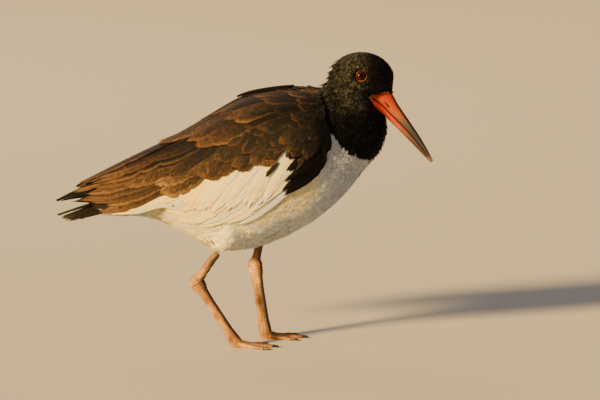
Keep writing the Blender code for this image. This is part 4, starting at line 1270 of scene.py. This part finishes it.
def wing_pieces(side, word):
    """The feathers of a wing, a piece for each colour."""
    chance = np.random.default_rng(40 + side)
    gathered = {name: [] for name in PLUMES}
    for tier, row in TIERS.items():
        count, r0, r1, t0, t1, width, lift, rise, form, notches, dye, tone0, tone1 = row
        for k in range(0 if side == RIGHT and tier in LEFT_ONLY else count):
            share = k / max(count - 1, 1)
            root = between(r0, r1, share) + chance.normal(0, ROOT_STRAY)
            stray = WORN_STRAY if tier in RAGGED else TIP_STRAY
            tip = between(t0, t1, share) + chance.normal(0, stray)
            points, vane, s = wing_feather(
                root, tip, width * chance.uniform(*WIDTHS),
                lift + LIFT_STRAY * chance.random() + LIFT_STEP * (k % 2),
                rise * chance.uniform(*RISES),
                form, notches, WHITE_RELIEF if dye == "white" else 1.0, chance,
            )
            tone = between(tone0, tone1, share**0.7) + chance.normal(0, TONE_STRAY)
            tone = np.concatenate((np.tile(np.clip(tone, 0, 1), (len(s), 1)), s[:, None]), 1)
            gathered[dye].append((points * (1, side, 1), vane, tone))
    size = ROWS * (COLUMNS + 1)
    for dye, feathers in gathered.items():
        material, slot = PLUMES[dye]
        faces = np.concatenate([VANE_FACES + k * size for k in range(len(feathers))])
        points, vane, tone = (np.concatenate([f[k] for f in feathers]) for k in range(3))
        piece = build_mesh(
            f"wing_{word}_{dye}_feathers", points, faces if side == LEFT else faces[:, ::-1],
            material, vane, tone, patches(points[SHAFT_ROOT::size], vane, tone[:, 3]),
        )
        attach(piece, "root")
        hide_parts(f"wing_{word}")
        print(piece.name, len(feathers), "feathers")


wing_pieces(RIGHT, "right")
wing_pieces(LEFT, "left")

# %% [markdown]
# Under the feathers lies the arm of the wing: a thin slab on the body, closed all round, in the
# colour of the feathers over it.

# %% Slab under the feathers
BORDER = np.array(  # of brown and white on the slab, as place and down
    [(-1, 1.2), (2.0, 1.2), (2.4, 0.96), (3.75, 0.92), (4.6, 0.80), (5.1, 0.68), (6.0, 0.70),
     (7.5, 0.71), (7.8, 0.57), (8.3, 0.57), (8.6, 0.72), (8.9, 1.2), (11, 1.2)]
)
SLAB_REAR, SLAB_STEP, SLAB_COLUMNS, SLAB_LIFT = 1.5, 0.15, 46, 0.05


def slab(side, word):
    """A closed skin around the bed and the slab's outer surface."""
    places = np.arange(SLAB_REAR, WING_FRONT + 0.01, SLAB_STEP)
    downs = np.linspace(0, 1, SLAB_COLUMNS)
    p, d = (a.ravel() for a in np.meshgrid(places, downs, indexing="ij"))
    d = d * wing_hem(p)
    bed, normal, _, _, thick = read_wing(p, d)
    size = len(p)
    under, over = bed + normal * (GAP + SLAB_LIFT), bed + normal * (GAP + thick)[:, None]
    points = np.concatenate((under, over))
    rows, columns = len(places), len(downs)
    outer = grid_quads(rows, columns) + size
    inner = outer[:, ::-1] - size
    ring = np.concatenate((
        np.arange(columns), np.arange(1, rows) * columns + columns - 1,
        (rows - 1) * columns + np.arange(columns - 2, -1, -1), np.arange(rows - 2, 0, -1) * columns,
    ))
    after = np.roll(ring, -1)
    walls = np.stack((after, ring, ring + size, after + size), 1)
    faces = np.concatenate((outer, inner, walls))
    kinds = np.where(d > np.interp(p, *BORDER.T), 0, 2)
    shades = SKIN_COLOURS[np.concatenate((kinds, kinds))]
    points = points * (1, side, 1)
    piece = build_mesh(
        f"wing_{word}_slab", points, faces if side == LEFT else faces[:, ::-1],
        bpy.data.materials["down_and_skin"], tone=shades, uv=unwrap(points),
    )
    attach(piece, "root")
    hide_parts(f"wing_{word}")


slab(RIGHT, "right")
slab(LEFT, "left")
print("wing slabs made")

# %% [markdown]
# ## The tail
#
# Twelve stiff feathers, folded to a narrow roof: the middle pair on top, each next pair a little
# lower and further out. They are white at the root and end in a broad black band, worn to single
# barbs at the tips. One cut plate could stand for them, but it has no steps between vanes, so
# each is laid by itself, straight, with the points and the material of a wing feather.

# %% White and black of the tail
tail_plume = feather_material(
    "banded_tail_feather",
    centre=[(0, "#020202"), (0.5, "#060504"), (1, "#160F0A")],
    fringe=[(0, "#100B08"), (1, "#46331F")],
    root="#E9E4DA",
    shaft="#100D0C",
    fringe_width=0.8,
    gloss=0.2,
    root_band=(0.34, 0.24, 1.0),
)
print("tail material:", tail_plume.name)


# %% Tail feathers
TAIL_PAIRS, TAIL_WIDTH, TAIL_NOTCHES = 6, 7.5, 3


def tail_feather(side, pair, chance):
    """Points of one tail feather, worn to single barbs at the tip, and its two maps."""
    s = 1 - (1 - np.linspace(0, 1, ROWS)) ** TIP_CROWDING
    c = np.linspace(-1, 1, COLUMNS + 1)

    # In millimetres: each next pair stands further out and lower, with its tip further forward
    out = side * (2 + 1.6 * pair)
    root = np.array((-104, out, 127 - 1.5 * pair))
    tip = np.array((-157 + 1.6 * pair, out, 110.2 - 0.7 * pair))
    tip[0] += chance.normal(0, 1.6)
    tip[2] += chance.normal(0, 0.5)
    heading = unit(tip - root)
    tilt = math.radians(8 + 4 * pair)  # the roof falls off to the sides
    normal = np.array((0, side * math.sin(tilt), math.cos(tilt)))
    aside = unit(np.cross(heading, normal))
    normal = unit(np.cross(aside, heading))
    ragged = 1 + np.interp(s, np.linspace(0, 1, 10), chance.normal(0, 0.05, 10))
    for _ in range(TAIL_NOTCHES):
        depth, where = chance.uniform(0.1, 0.35), chance.uniform(0.6, 0.97)
        ragged -= depth * np.exp(-(((s - where) / 0.02) ** 2))
    half = TAIL_WIDTH / 2 * outline(s, "pointed") * ragged
    across = c * half[:, None]
    swept = BARB_SWEEP * np.abs(across) * np.clip((1 - s) / 0.3, 0, 1)[:, None]
    swept = swept + chance.normal(0, 1.3, COLUMNS + 1) * s[:, None] ** 7
    length = np.linalg.norm(tip - root)
    height = 1.2 * np.sin(s * math.pi)[:, None] - 0.12 * TAIL_WIDTH * c**2
    forward = s[:, None] * length + swept
    point = root + heading * forward[..., None] + aside * across[..., None]
    point = point + normal * height[..., None]
    edge = np.minimum(half[:, None] * (1 - np.abs(c)), length * (1 - s)[:, None])
    vane = np.stack((across, forward, edge), 2)
    tone = np.tile((chance.uniform(0.1, 0.5), 0.6, chance.random()), (point[..., 0].size, 1))
    return point.reshape(-1, 3), vane.reshape(-1, 3), np.c_[tone, np.repeat(s, COLUMNS + 1)]


chance = np.random.default_rng(60)
feathers = [
    tail_feather(side, pair, chance)
    for pair in reversed(range(TAIL_PAIRS))
    for side in (LEFT, RIGHT)
]
points, vane, tone = (np.concatenate([f[k] for f in feathers]) for k in range(3))
size = ROWS * (COLUMNS + 1)
faces = np.concatenate([VANE_FACES + k * size for k in range(len(feathers))])
spots = patches(points[SHAFT_ROOT::size], vane, tone[:, 3])
tail = build_mesh("tail_feathers", points, faces, tail_plume, vane, tone, spots)
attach(tail, "root")
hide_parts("tail")
print("tail feathers:", len(feathers))

# %% [markdown]
# ## The bill
#
# A long blade, deep at the base and squeezed from the sides to a chisel at the tip. The horn is
# thin over living tissue at the base, which makes it orange there, and grows dusky and dry toward
# the tip. It could be pulled from a box, but its long lines are easier to keep true in a table,
# so it is lofted from the ridge, the mouth line and the keel. The nostril is a slit pressed into
# the side, so it keeps soft rims, which a cut hole would not.

# %% Bill halves
BILL = [  # ridge x, z, mouth x, z, keel x, z, half width
    (122.0, 217.8, 105.6, 212.6, 108.6, 204.6, 7.9),
    (125.8, 212.4, 106.7, 211.2, 110.8, 202.2, 7.6),
    (129.4, 205.6, 114.9, 206.0, 115.8, 197.4, 6.7),
    (134.0, 198.6, 121.5, 199.2, 121.4, 192.2, 5.5),
    (140.4, 189.2, 129.5, 191.2, 128.5, 185.2, 4.3),
    (147.7, 178.2, 139.5, 180.9, 138.0, 175.3, 3.3),
    (154.0, 167.5, 148.9, 169.6, 147.5, 165.4, 2.5),
    (158.6, 158.8, 156.2, 160.3, 155.1, 157.6, 1.8),
    (159.8, 155.9, 158.9, 156.4, 158.2, 155.0, 1.0),
]
MOUTH_GAP = 0.4
NOSTRIL, NOSTRIL_LONG, NOSTRIL_HIGH, NOSTRIL_DEEP = (120.8, 205.0), 7.5, 1.5, 1.1
GROOVE_LONG, GROOVE_HIGH, GROOVE_DEEP = 34, 1.3, 0.3
PALATE_RISE = 0.10  # how far the closed inner side bulges, as a share of the height
BILL_SLOPE = math.radians(-51)
# For each half: where it starts in the table, exponents of height and side, and its width
SHAPES = {True: (0.3, 0.85, 0.9, 0.97), False: (0.85, 0.42, 0.6, 1.08)}
BILL_END = 7.98  # where both end in the table


def bill_half(upper, stations=150, sides=36):
    """Points, quads, end triangles and tones of the upper or lower half."""
    start, ridge_power, side_power, width = SHAPES[upper]
    rows = at(BILL, np.linspace(start, BILL_END, stations))
    mouth, far = rows[:, 2:4], rows[:, 0:2] if upper else rows[:, 4:6]
    mouth = mouth + unit(far - mouth) * MOUTH_GAP / 2
    angle = np.linspace(-math.pi / 2, math.pi / 2, sides)
    ridge = np.cos(angle) ** ridge_power
    spread = np.sign(angle) * np.abs(np.sin(angle)) ** side_power
    palate = np.linspace(1, -1, 9)[1:-1]
    height = np.concatenate((ridge, PALATE_RISE * (1 - palate**2)))
    wide = np.concatenate((spread, palate * 0.98)) * width
    flat = mouth[:, None] + (far - mouth)[:, None] * height[:, None]
    points = np.stack((flat[..., 0], rows[:, 6:7] * wide, flat[..., 1]), 2)
    tip = blend(0.985, 1.0, np.linspace(0, 1, stations))
    points[..., 1] *= (1 - 0.5 * tip)[:, None]

    # The nostril and the groove before it are pressed into the outside of the upper half
    offset = points[..., [0, 2]] - NOSTRIL
    ahead = offset @ (math.cos(BILL_SLOPE), math.sin(BILL_SLOPE))
    above = offset @ (-math.sin(BILL_SLOPE), math.cos(BILL_SLOPE))
    slit = np.exp(-((np.abs(ahead) / (NOSTRIL_LONG / 2)) ** 4))
    slit = slit * np.exp(-((above / (NOSTRIL_HIGH / 2)) ** 2))
    groove = GROOVE_DEEP * blend(GROOVE_LONG, 2, ahead)
    groove = groove * np.exp(-(((above + 0.15) / GROOVE_HIGH) ** 2))
    outer = (np.arange(len(height)) < sides) & upper
    points[..., 1] -= np.sign(points[..., 1]) * (slit * NOSTRIL_DEEP + groove) * outer

    along = np.broadcast_to(np.linspace(0, 1, stations)[:, None], slit.shape)
    side_share = np.broadcast_to(height, slit.shape)
    tone = np.stack((along, side_share, slit * outer, 0 * along), 2)
    n = points.shape[1]
    ends = points[[0, -1]].mean(1)
    flat_points = np.concatenate((points.reshape(-1, 3), ends))
    tones = np.concatenate((tone.reshape(-1, 4), [(0, 0, 0, 0), (1, 0, 0, 0)]))
    caps = np.array([
        (stations * n + end, row * n + (q + 1) % n, row * n + q)
        for end, row in enumerate((0, stations - 1))
        for q in range(n)
    ])
    return flat_points, grid_quads(stations, n, closed=True), caps, tones


print("the bill slopes by", round(math.degrees(BILL_SLOPE)), "degrees")

# %% Horn, orange at the base and dusky at the tip
CLOUD_SIZE = 20 / 3  # millimetres: three clouds of colour in two centimetres
GRAIN_SIZE = 10 / 9  # the grain of horn is finer, too fine to show, and drawn this coarse
material, tree, shader = new_material(
    "bill_horn", Roughness=0.42, IOR=KERATIN_IOR, Subsurface_Weight=0.05,
    Subsurface_Scale=0.0012, Specular_IOR_Level=0.2,
)
tone = add(tree, "Attribute", {"attribute_name": "tone"}).node.outputs
split = add(tree, "SeparateColor", links={0: tone["Color"]}).node.outputs
where = add(tree, "NewGeometry").node.outputs["Position"]
cloud = add(tree, "TexNoise", {"Scale": 1000 / CLOUD_SIZE, "Detail": 4.0}, {"Vector": where})
shifted = add(tree, "Math", {"operation": "MULTIPLY_ADD", 1: 0.20}, {0: cloud, 2: split["Red"]})
# The lower half's base is painted far brighter than the upper's, as painted light against the
# shadow that the cheek throws on it; the upper base is painted darker where the sun falls full
UPPER_HORN = [
    (0.08, "#A02802"), (0.34, "#B04004"), (0.50, "#9C5430"), (0.61, "#524A48"), (0.76, "#353536"),
    (0.94, "#484442"), (1.0, "#8A6450"),
]
LOWER_HORN = [
    (0.08, "#FF4A1C"), (0.30, "#FC4C1A"), (0.48, "#E04416"), (0.60, "#9A4A2A"), (0.72, "#5E4234"),
    (0.90, "#40302A"), (1.0, "#A0705C"),
]
horn = add(tree, "ValToRGB", {"stops": UPPER_HORN}, {0: shifted})
stripe = add(
    tree, "Math", {"operation": "MULTIPLY_ADD", 1: 0.45}, {0: split["Red"], 2: split["Green"]}
)
ridge_dark = add(tree, "MapRange", {"From Min": 0.94, "From Max": 1.04, "To Max": 0.9}, {0: stripe})
ridged = add(tree, "Mix", {**MIX, 7: "#2A1E18"}, {0: ridge_dark, 6: horn})
# The nostril slit is painted near-black as painted shade in its hollow
slit = add(tree, "MapRange", {"From Min": 0.25, "From Max": 0.75}, {0: split["Blue"]})
nostril_shaded = add(tree, "Mix", {**MIX, 7: "#120806"}, {0: slit, 6: ridged})
# Painted shade along the mouth line, in the crease between the halves
mouth_crease_shade = add(tree, "MapRange", {"From Min": 0.14, "From Max": 0.0, "To Max": 0.8}, {0: split["Green"]})
crease_shaded = add(tree, "Mix", {**MIX, 7: "#3A140A"}, {0: mouth_crease_shade, 6: nostril_shaded})
tree.links.new(crease_shaded, shader.inputs["Base Color"])
grain = add(tree, "TexNoise", {"Scale": 1000 / GRAIN_SIZE, "Detail": 3.0}, {"Vector": where})
bump = add(tree, "Bump", {"Strength": 0.25, "Distance": 0.0003}, {"Height": grain})
tree.links.new(bump, shader.inputs["Normal"])
dry = add(tree, "MapRange", {"To Min": 0.32, "To Max": 0.55}, {0: split["Red"]})
tree.links.new(dry, shader.inputs["Roughness"])
upper_horn = material
lower_horn = material.copy()
lower_horn.name = "bill_horn_lower_painted_light"
ramp = lower_horn.node_tree.nodes[horn.node.name].color_ramp.elements
for element, (place, shade) in zip(ramp, LOWER_HORN):
    element.position, element.color = place, colour(shade)
print("horn:", upper_horn.name, lower_horn.name)

# %% Both halves
for name, is_upper, horn in (("bill_upper", True, upper_horn), ("bill_lower", False, lower_horn)):
    points, quads, caps, tones = bill_half(is_upper)
    faces = np.concatenate((quads[:, [0, 1, 2]], quads[:, [0, 2, 3]], caps))
    piece = build_mesh(name + "_horn", points, faces, horn, tone=tones)
    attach(piece, "root")
    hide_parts(name)
    print(piece.name, len(faces), "triangles")

# %% [markdown]
# ## The eyes
#
# Glass eyes, as a taxidermist sets them: a dark red-brown iris round a black pupil under a clear
# coat, in a ring of bare orange skin with a knobbly edge. A painted picture would do for the
# iris, but it blurs close up, so the mesh stores how far each point is from the pupil and the
# material draws the rings from that. The look of a bird hangs on the small bright mirror of the
# lamp in this ball, so its coat is very smooth.

# %% Eye sizes, glass and ring skin
EYE_RADIUS, EYE_RINGS, EYE_SIDES = 5.0, 49, 64
EYE_LOOK = unit(np.array((0.16, 1.0, 0.10)))
PUPIL = 2.1 / EYE_RADIUS
RING_RADIUS, RING_THICK, RING_OUT, RING_KNOBS = 4.45, 0.34, 4.0, 22
RING_TURNS, RING_SIDES = 132, 16
THREAD_SIZE = 10 / 9  # threads of the iris in millimetres, drawn ten times as coarse as real ones
BLOTCH_SIZE = 2.0  # millimetres on the bare ring

eye_glass, tree, shader = new_material(
    "eye_glass", Roughness=0.12, IOR=1.5, Coat_Weight=0.16, Coat_Roughness=0.015, Coat_IOR=1.38,
    Specular_IOR_Level=0.1,
)
tone = add(tree, "Attribute", {"attribute_name": "tone"}).node.outputs
split = add(tree, "SeparateColor", links={0: tone["Color"]}).node.outputs
where = add(tree, "NewGeometry").node.outputs["Position"]
threads = add(tree, "TexNoise", {"Scale": 1000 / THREAD_SIZE, "Detail": 2.0}, {"Vector": where})
uneven = add(tree, "Math", {"operation": "MULTIPLY_ADD", 1: 0.5, 2: -0.25}, {0: threads})
wavy = add(tree, "Math", {"operation": "ADD"}, {0: split["Red"], 1: uneven})
iris = add(tree, "ValToRGB", {"stops": [
    (0.0, "#050303"), (PUPIL, "#070303"), (PUPIL + 0.05, "#3A0E06"), (0.64, "#42120A"),
    (0.78, "#240905"), (0.86, "#120604"),
]}, {0: wavy})
tree.links.new(iris, shader.inputs["Base Color"])

ring_skin, tree, shader = new_material(
    "eye_ring_skin", Roughness=0.42, IOR=1.45, Subsurface_Weight=0.15, Subsurface_Scale=0.0008
)
where = add(tree, "NewGeometry").node.outputs["Position"]
blotch = add(tree, "TexNoise", {"Scale": 1000 / BLOTCH_SIZE, "Detail": 2.0}, {"Vector": where})
RING_SHADES = [(0.40, "#160805"), (0.54, "#562412"), (0.70, "#A05A3E")]
ring_colour = add(tree, "ValToRGB", {"stops": RING_SHADES}, {0: blotch})
tree.links.new(ring_colour, shader.inputs["Base Color"])
print("pupil:", round(100 * PUPIL), "percent of the eye")


# %% Eyeballs and rings
def turns(count):
    """Evenly spaced angles of a full turn."""
    return np.linspace(0, math.tau, count, endpoint=False)


for side, word in ((RIGHT, "right"), (LEFT, "left")):
    centre, look = EYE_CENTRE * (1, side, 1), EYE_LOOK * (1, side, 1)
    across = unit(np.cross(look, (0, 0, 1)))
    upright = np.cross(across, look)
    outward = np.dot(np.cross(across, upright), look) > 0
    order = [0, 3, 2, 1] if outward else [1, 2, 3, 0]

    latitude, longitude = np.meshgrid(
        np.linspace(0, math.pi, EYE_RINGS), turns(EYE_SIDES), indexing="ij"
    )
    wide, high = np.sin(latitude) * np.cos(longitude), np.sin(latitude) * np.sin(longitude)
    ball = np.stack((wide, high, np.cos(latitude)), 2).reshape(-1, 3)
    points = centre + EYE_RADIUS * ball @ (across, upright, look)
    out = np.where(ball[:, 2] > 0, np.sin(latitude).ravel(), 1)
    eye = build_mesh(
        f"eye_{word}_glass", points, grid_quads(EYE_RINGS, EYE_SIDES, closed=True)[:, order],
        eye_glass, tone=np.stack((out, out, out, out), 1),
    )
    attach(eye, "root")
    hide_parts(f"eye_{word}")

    turn, around = np.meshgrid(turns(RING_TURNS), turns(RING_SIDES), indexing="ij")
    # Small knobs all round, and slow waves so that the ring is no perfect circle
    knob = 1 + 0.16 * np.abs(np.sin(turn * RING_KNOBS / 2)) ** 0.7
    knob = knob + 0.10 * np.sin(turn * 3 + side) - 0.12 * np.cos(turn * 2)
    radius = RING_RADIUS + RING_THICK * knob * np.cos(around)
    out = RING_OUT + 0.85 * RING_THICK * knob * np.sin(around)
    ring = np.stack((radius * np.cos(turn), radius * np.sin(turn), out), 2).reshape(-1, 3)
    quads = grid_quads(RING_TURNS + 1, RING_SIDES, closed=True) % (RING_TURNS * RING_SIDES)
    points = centre + ring @ (across, upright, look)
    rim = build_mesh(f"eye_ring_{word}_skin", points, quads[:, order], ring_skin)
    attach(rim, "root")
    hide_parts(f"eye_ring_{word}")
    print(eye.name, "and", rim.name)

# %% [markdown]
# ## Legs and claws
#
# Scaled skin over bone and sinew. The front of the long foot bone and the tops of the toes carry
# a row of plates, about two millimetres each, and small net-like scales cover the rest. Tubes
# could be run through the joints, but they crease where toes meet, so each leg is one wrapped
# skin in which the joints between its solids vanish. The plates are pressed into the mesh, where
# they catch the light at the edge, and the small scales come from the material.

# %% Leg sizes and material
LEGS = {  # hock, foot, and how far the skin stands off the long bone
    "right": ((-40.8, -26, 57), (-7.5, -22, 4.2), 0.0),
    "left": ((8.4, 27, 63.5), (17.5, 22, 4.2), 0.7),
}
TOES = ("inner", "middle", "outer")
PLATE, TOE_PLATE, PRESS = 2.3, 2.0, 0.28  # millimetres of length, and of depth
NET_SIZE = 1.5  # millimetres across a small scale
FLUSH_SIZE = 25 / 3  # millimetres: three paler and darker patches in 25 mm of leg

leg_skin, tree, shader = new_material(
    "scaled_leg_skin", Roughness=0.5, IOR=1.5, Subsurface_Weight=0.06, Subsurface_Scale=0.001
)
tone = add(tree, "Attribute", {"attribute_name": "tone"}).node.outputs
split = add(tree, "SeparateColor", links={0: tone["Color"]}).node.outputs
where = add(tree, "NewGeometry").node.outputs["Position"]
cells = add(
    tree, "TexVoronoi", {"Scale": 1000 / NET_SIZE, "feature": "DISTANCE_TO_EDGE"},
    {"Vector": where},
)
seams = add(tree, "MapRange", {"From Max": 0.16}, {0: cells})
cloud = add(tree, "TexNoise", {"Scale": 1000 / FLUSH_SIZE, "Detail": 5.0}, {"Vector": where})
LEG_SHADES = [(0.3, "#7C4A1A"), (0.5, "#B87C38"), (0.7, "#DCAC62")]
base = add(tree, "ValToRGB", {"stops": LEG_SHADES}, {0: cloud})
# The second tone is painted shade: the leg's front away from the sun, the shin under the belly, the
# sinew's groove and the tops of the toes
dark = add(tree, "Math", {"operation": "MULTIPLY", 1: 0.92}, {0: split["Green"]})
leg_shaded = add(tree, "Mix", {**MIX, 7: "#2E160C"}, {0: dark, 6: base})
seam_shade = add(tree, "MapRange", {"To Min": 0.62, "To Max": 1.0}, {0: seams})
seamed = add(tree, "Mix", MULTIPLY, {6: leg_shaded, 7: seam_shade})
tree.links.new(seamed, shader.inputs["Base Color"])
bump = add(tree, "Bump", {"Strength": 0.5, "Distance": 0.0002}, {"Height": seams})
tree.links.new(bump, shader.inputs["Normal"])
print("leg skin:", leg_skin.name)

# %% Leg skins
for word, (hock, foot, stout) in LEGS.items():
    nodes = [f"shin_{word}", f"tarsus_{word}"] + [f"toe_{toe}_{word}" for toe in TOES]
    points, faces, normals = wrap(nodes, grow=0.26, voxel=0.55, rounds=3)
    hock, foot = np.array(hock), np.array(foot)
    bone = unit(foot - hock)
    offset = points - hock
    down = offset @ bone
    length = np.linalg.norm(foot - hock)
    front = normals[:, 0]
    above_toes = blend(5, 10, points[:, 2])
    # Painted shade: the front of the leg, which faces away from the sun, and the top of the shin
    # under the belly are painted darker
    dusky = 0.7 * blend(64, 76, points[:, 2]) + blend(0.05, 0.65, front)

    # Plates down the front of the long bone and along the tops of the toes
    on_bone = blend(3, 9, down) * blend(length + 2, length - 4, down)
    plates = np.abs(np.sin(math.pi * down / PLATE + 0.9 * np.abs(points[:, 1] - hock[1])))
    press = on_bone * blend(0.1, 0.6, front) * (1 - blend(0, 0.45, plates))
    flat = points[:, :2] - foot[:2]
    reach = np.linalg.norm(flat, axis=1)
    on_toe = blend(7.5, 5.5, points[:, 2]) * blend(4, 8, reach)
    toe_plates = np.abs(np.sin(math.pi * reach / TOE_PLATE))
    press = press + on_toe * blend(0.2, 0.7, normals[:, 2]) * (1 - blend(0, 0.5, toe_plates))

    # Wrinkles round the hock, a tuck into the thigh's feathers, and a groove along the sinew
    around_hock = np.exp(-((down / 7) ** 2))
    wrinkles = around_hock * np.sin(down * 2.4 + 0.5 * np.sin(points[:, 1] * 1.3)) * 0.22
    tuck = 1.8 * blend(78, 84, points[:, 2])
    behind = offset @ unit(np.cross(bone, (0, 1, 0)))
    tendon = on_bone * blend(0.3, 0.7, np.abs(normals[:, 1]))
    tendon = tendon * np.exp(-(((behind + 0.7) / 0.45) ** 2))
    depth = PRESS * press - wrinkles + 0.3 * tendon - stout * on_bone + tuck
    points = points - normals * depth[:, None]
    # The toes are painted darker, and their tops darker still as painted shade; the sinew's groove
    # takes painted shade too
    toe_top_shade = 0.2 + 0.5 * blend(0.1, 0.8, normals[:, 2])
    leg_painted_shade = above_toes * (dusky + 0.35 * tendon) + (1 - above_toes) * toe_top_shade
    tones = np.stack((press, np.clip(leg_painted_shade, 0, 1), 0 * press, 0 * press), 1)
    leg = build_mesh(f"leg_{word}_skin", points, faces, leg_skin, tone=tones)
    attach(leg, "root")
    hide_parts(*nodes)
    print(leg.name, len(faces), "quads")

# %% Claws
# Horn like the bill, but dark, and smoother because sand polishes it
STREAK_SIZE = 10 / 7  # millimetres: seven streaks in a centimetre
claw_horn, tree, shader = new_material("claw_horn", Roughness=0.35, IOR=KERATIN_IOR)
where = add(tree, "NewGeometry").node.outputs["Position"]
streak = add(tree, "TexNoise", {"Scale": 1000 / STREAK_SIZE, "Detail": 3.0}, {"Vector": where})
horn = add(tree, "ValToRGB", {"stops": [(0.35, "#15100E"), (0.7, "#3A2C25")]}, {0: streak})
tree.links.new(horn, shader.inputs["Base Color"])
nodes = [f"claw_{toe}_{word}" for toe in TOES for word in LEGS]
points, faces, _ = wrap(nodes, grow=0.2, voxel=0.32, rounds=2)
claws = build_mesh("claws_horn", points, faces, claw_horn)
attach(claws, "root")
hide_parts(*nodes)
print("claws:", len(nodes))
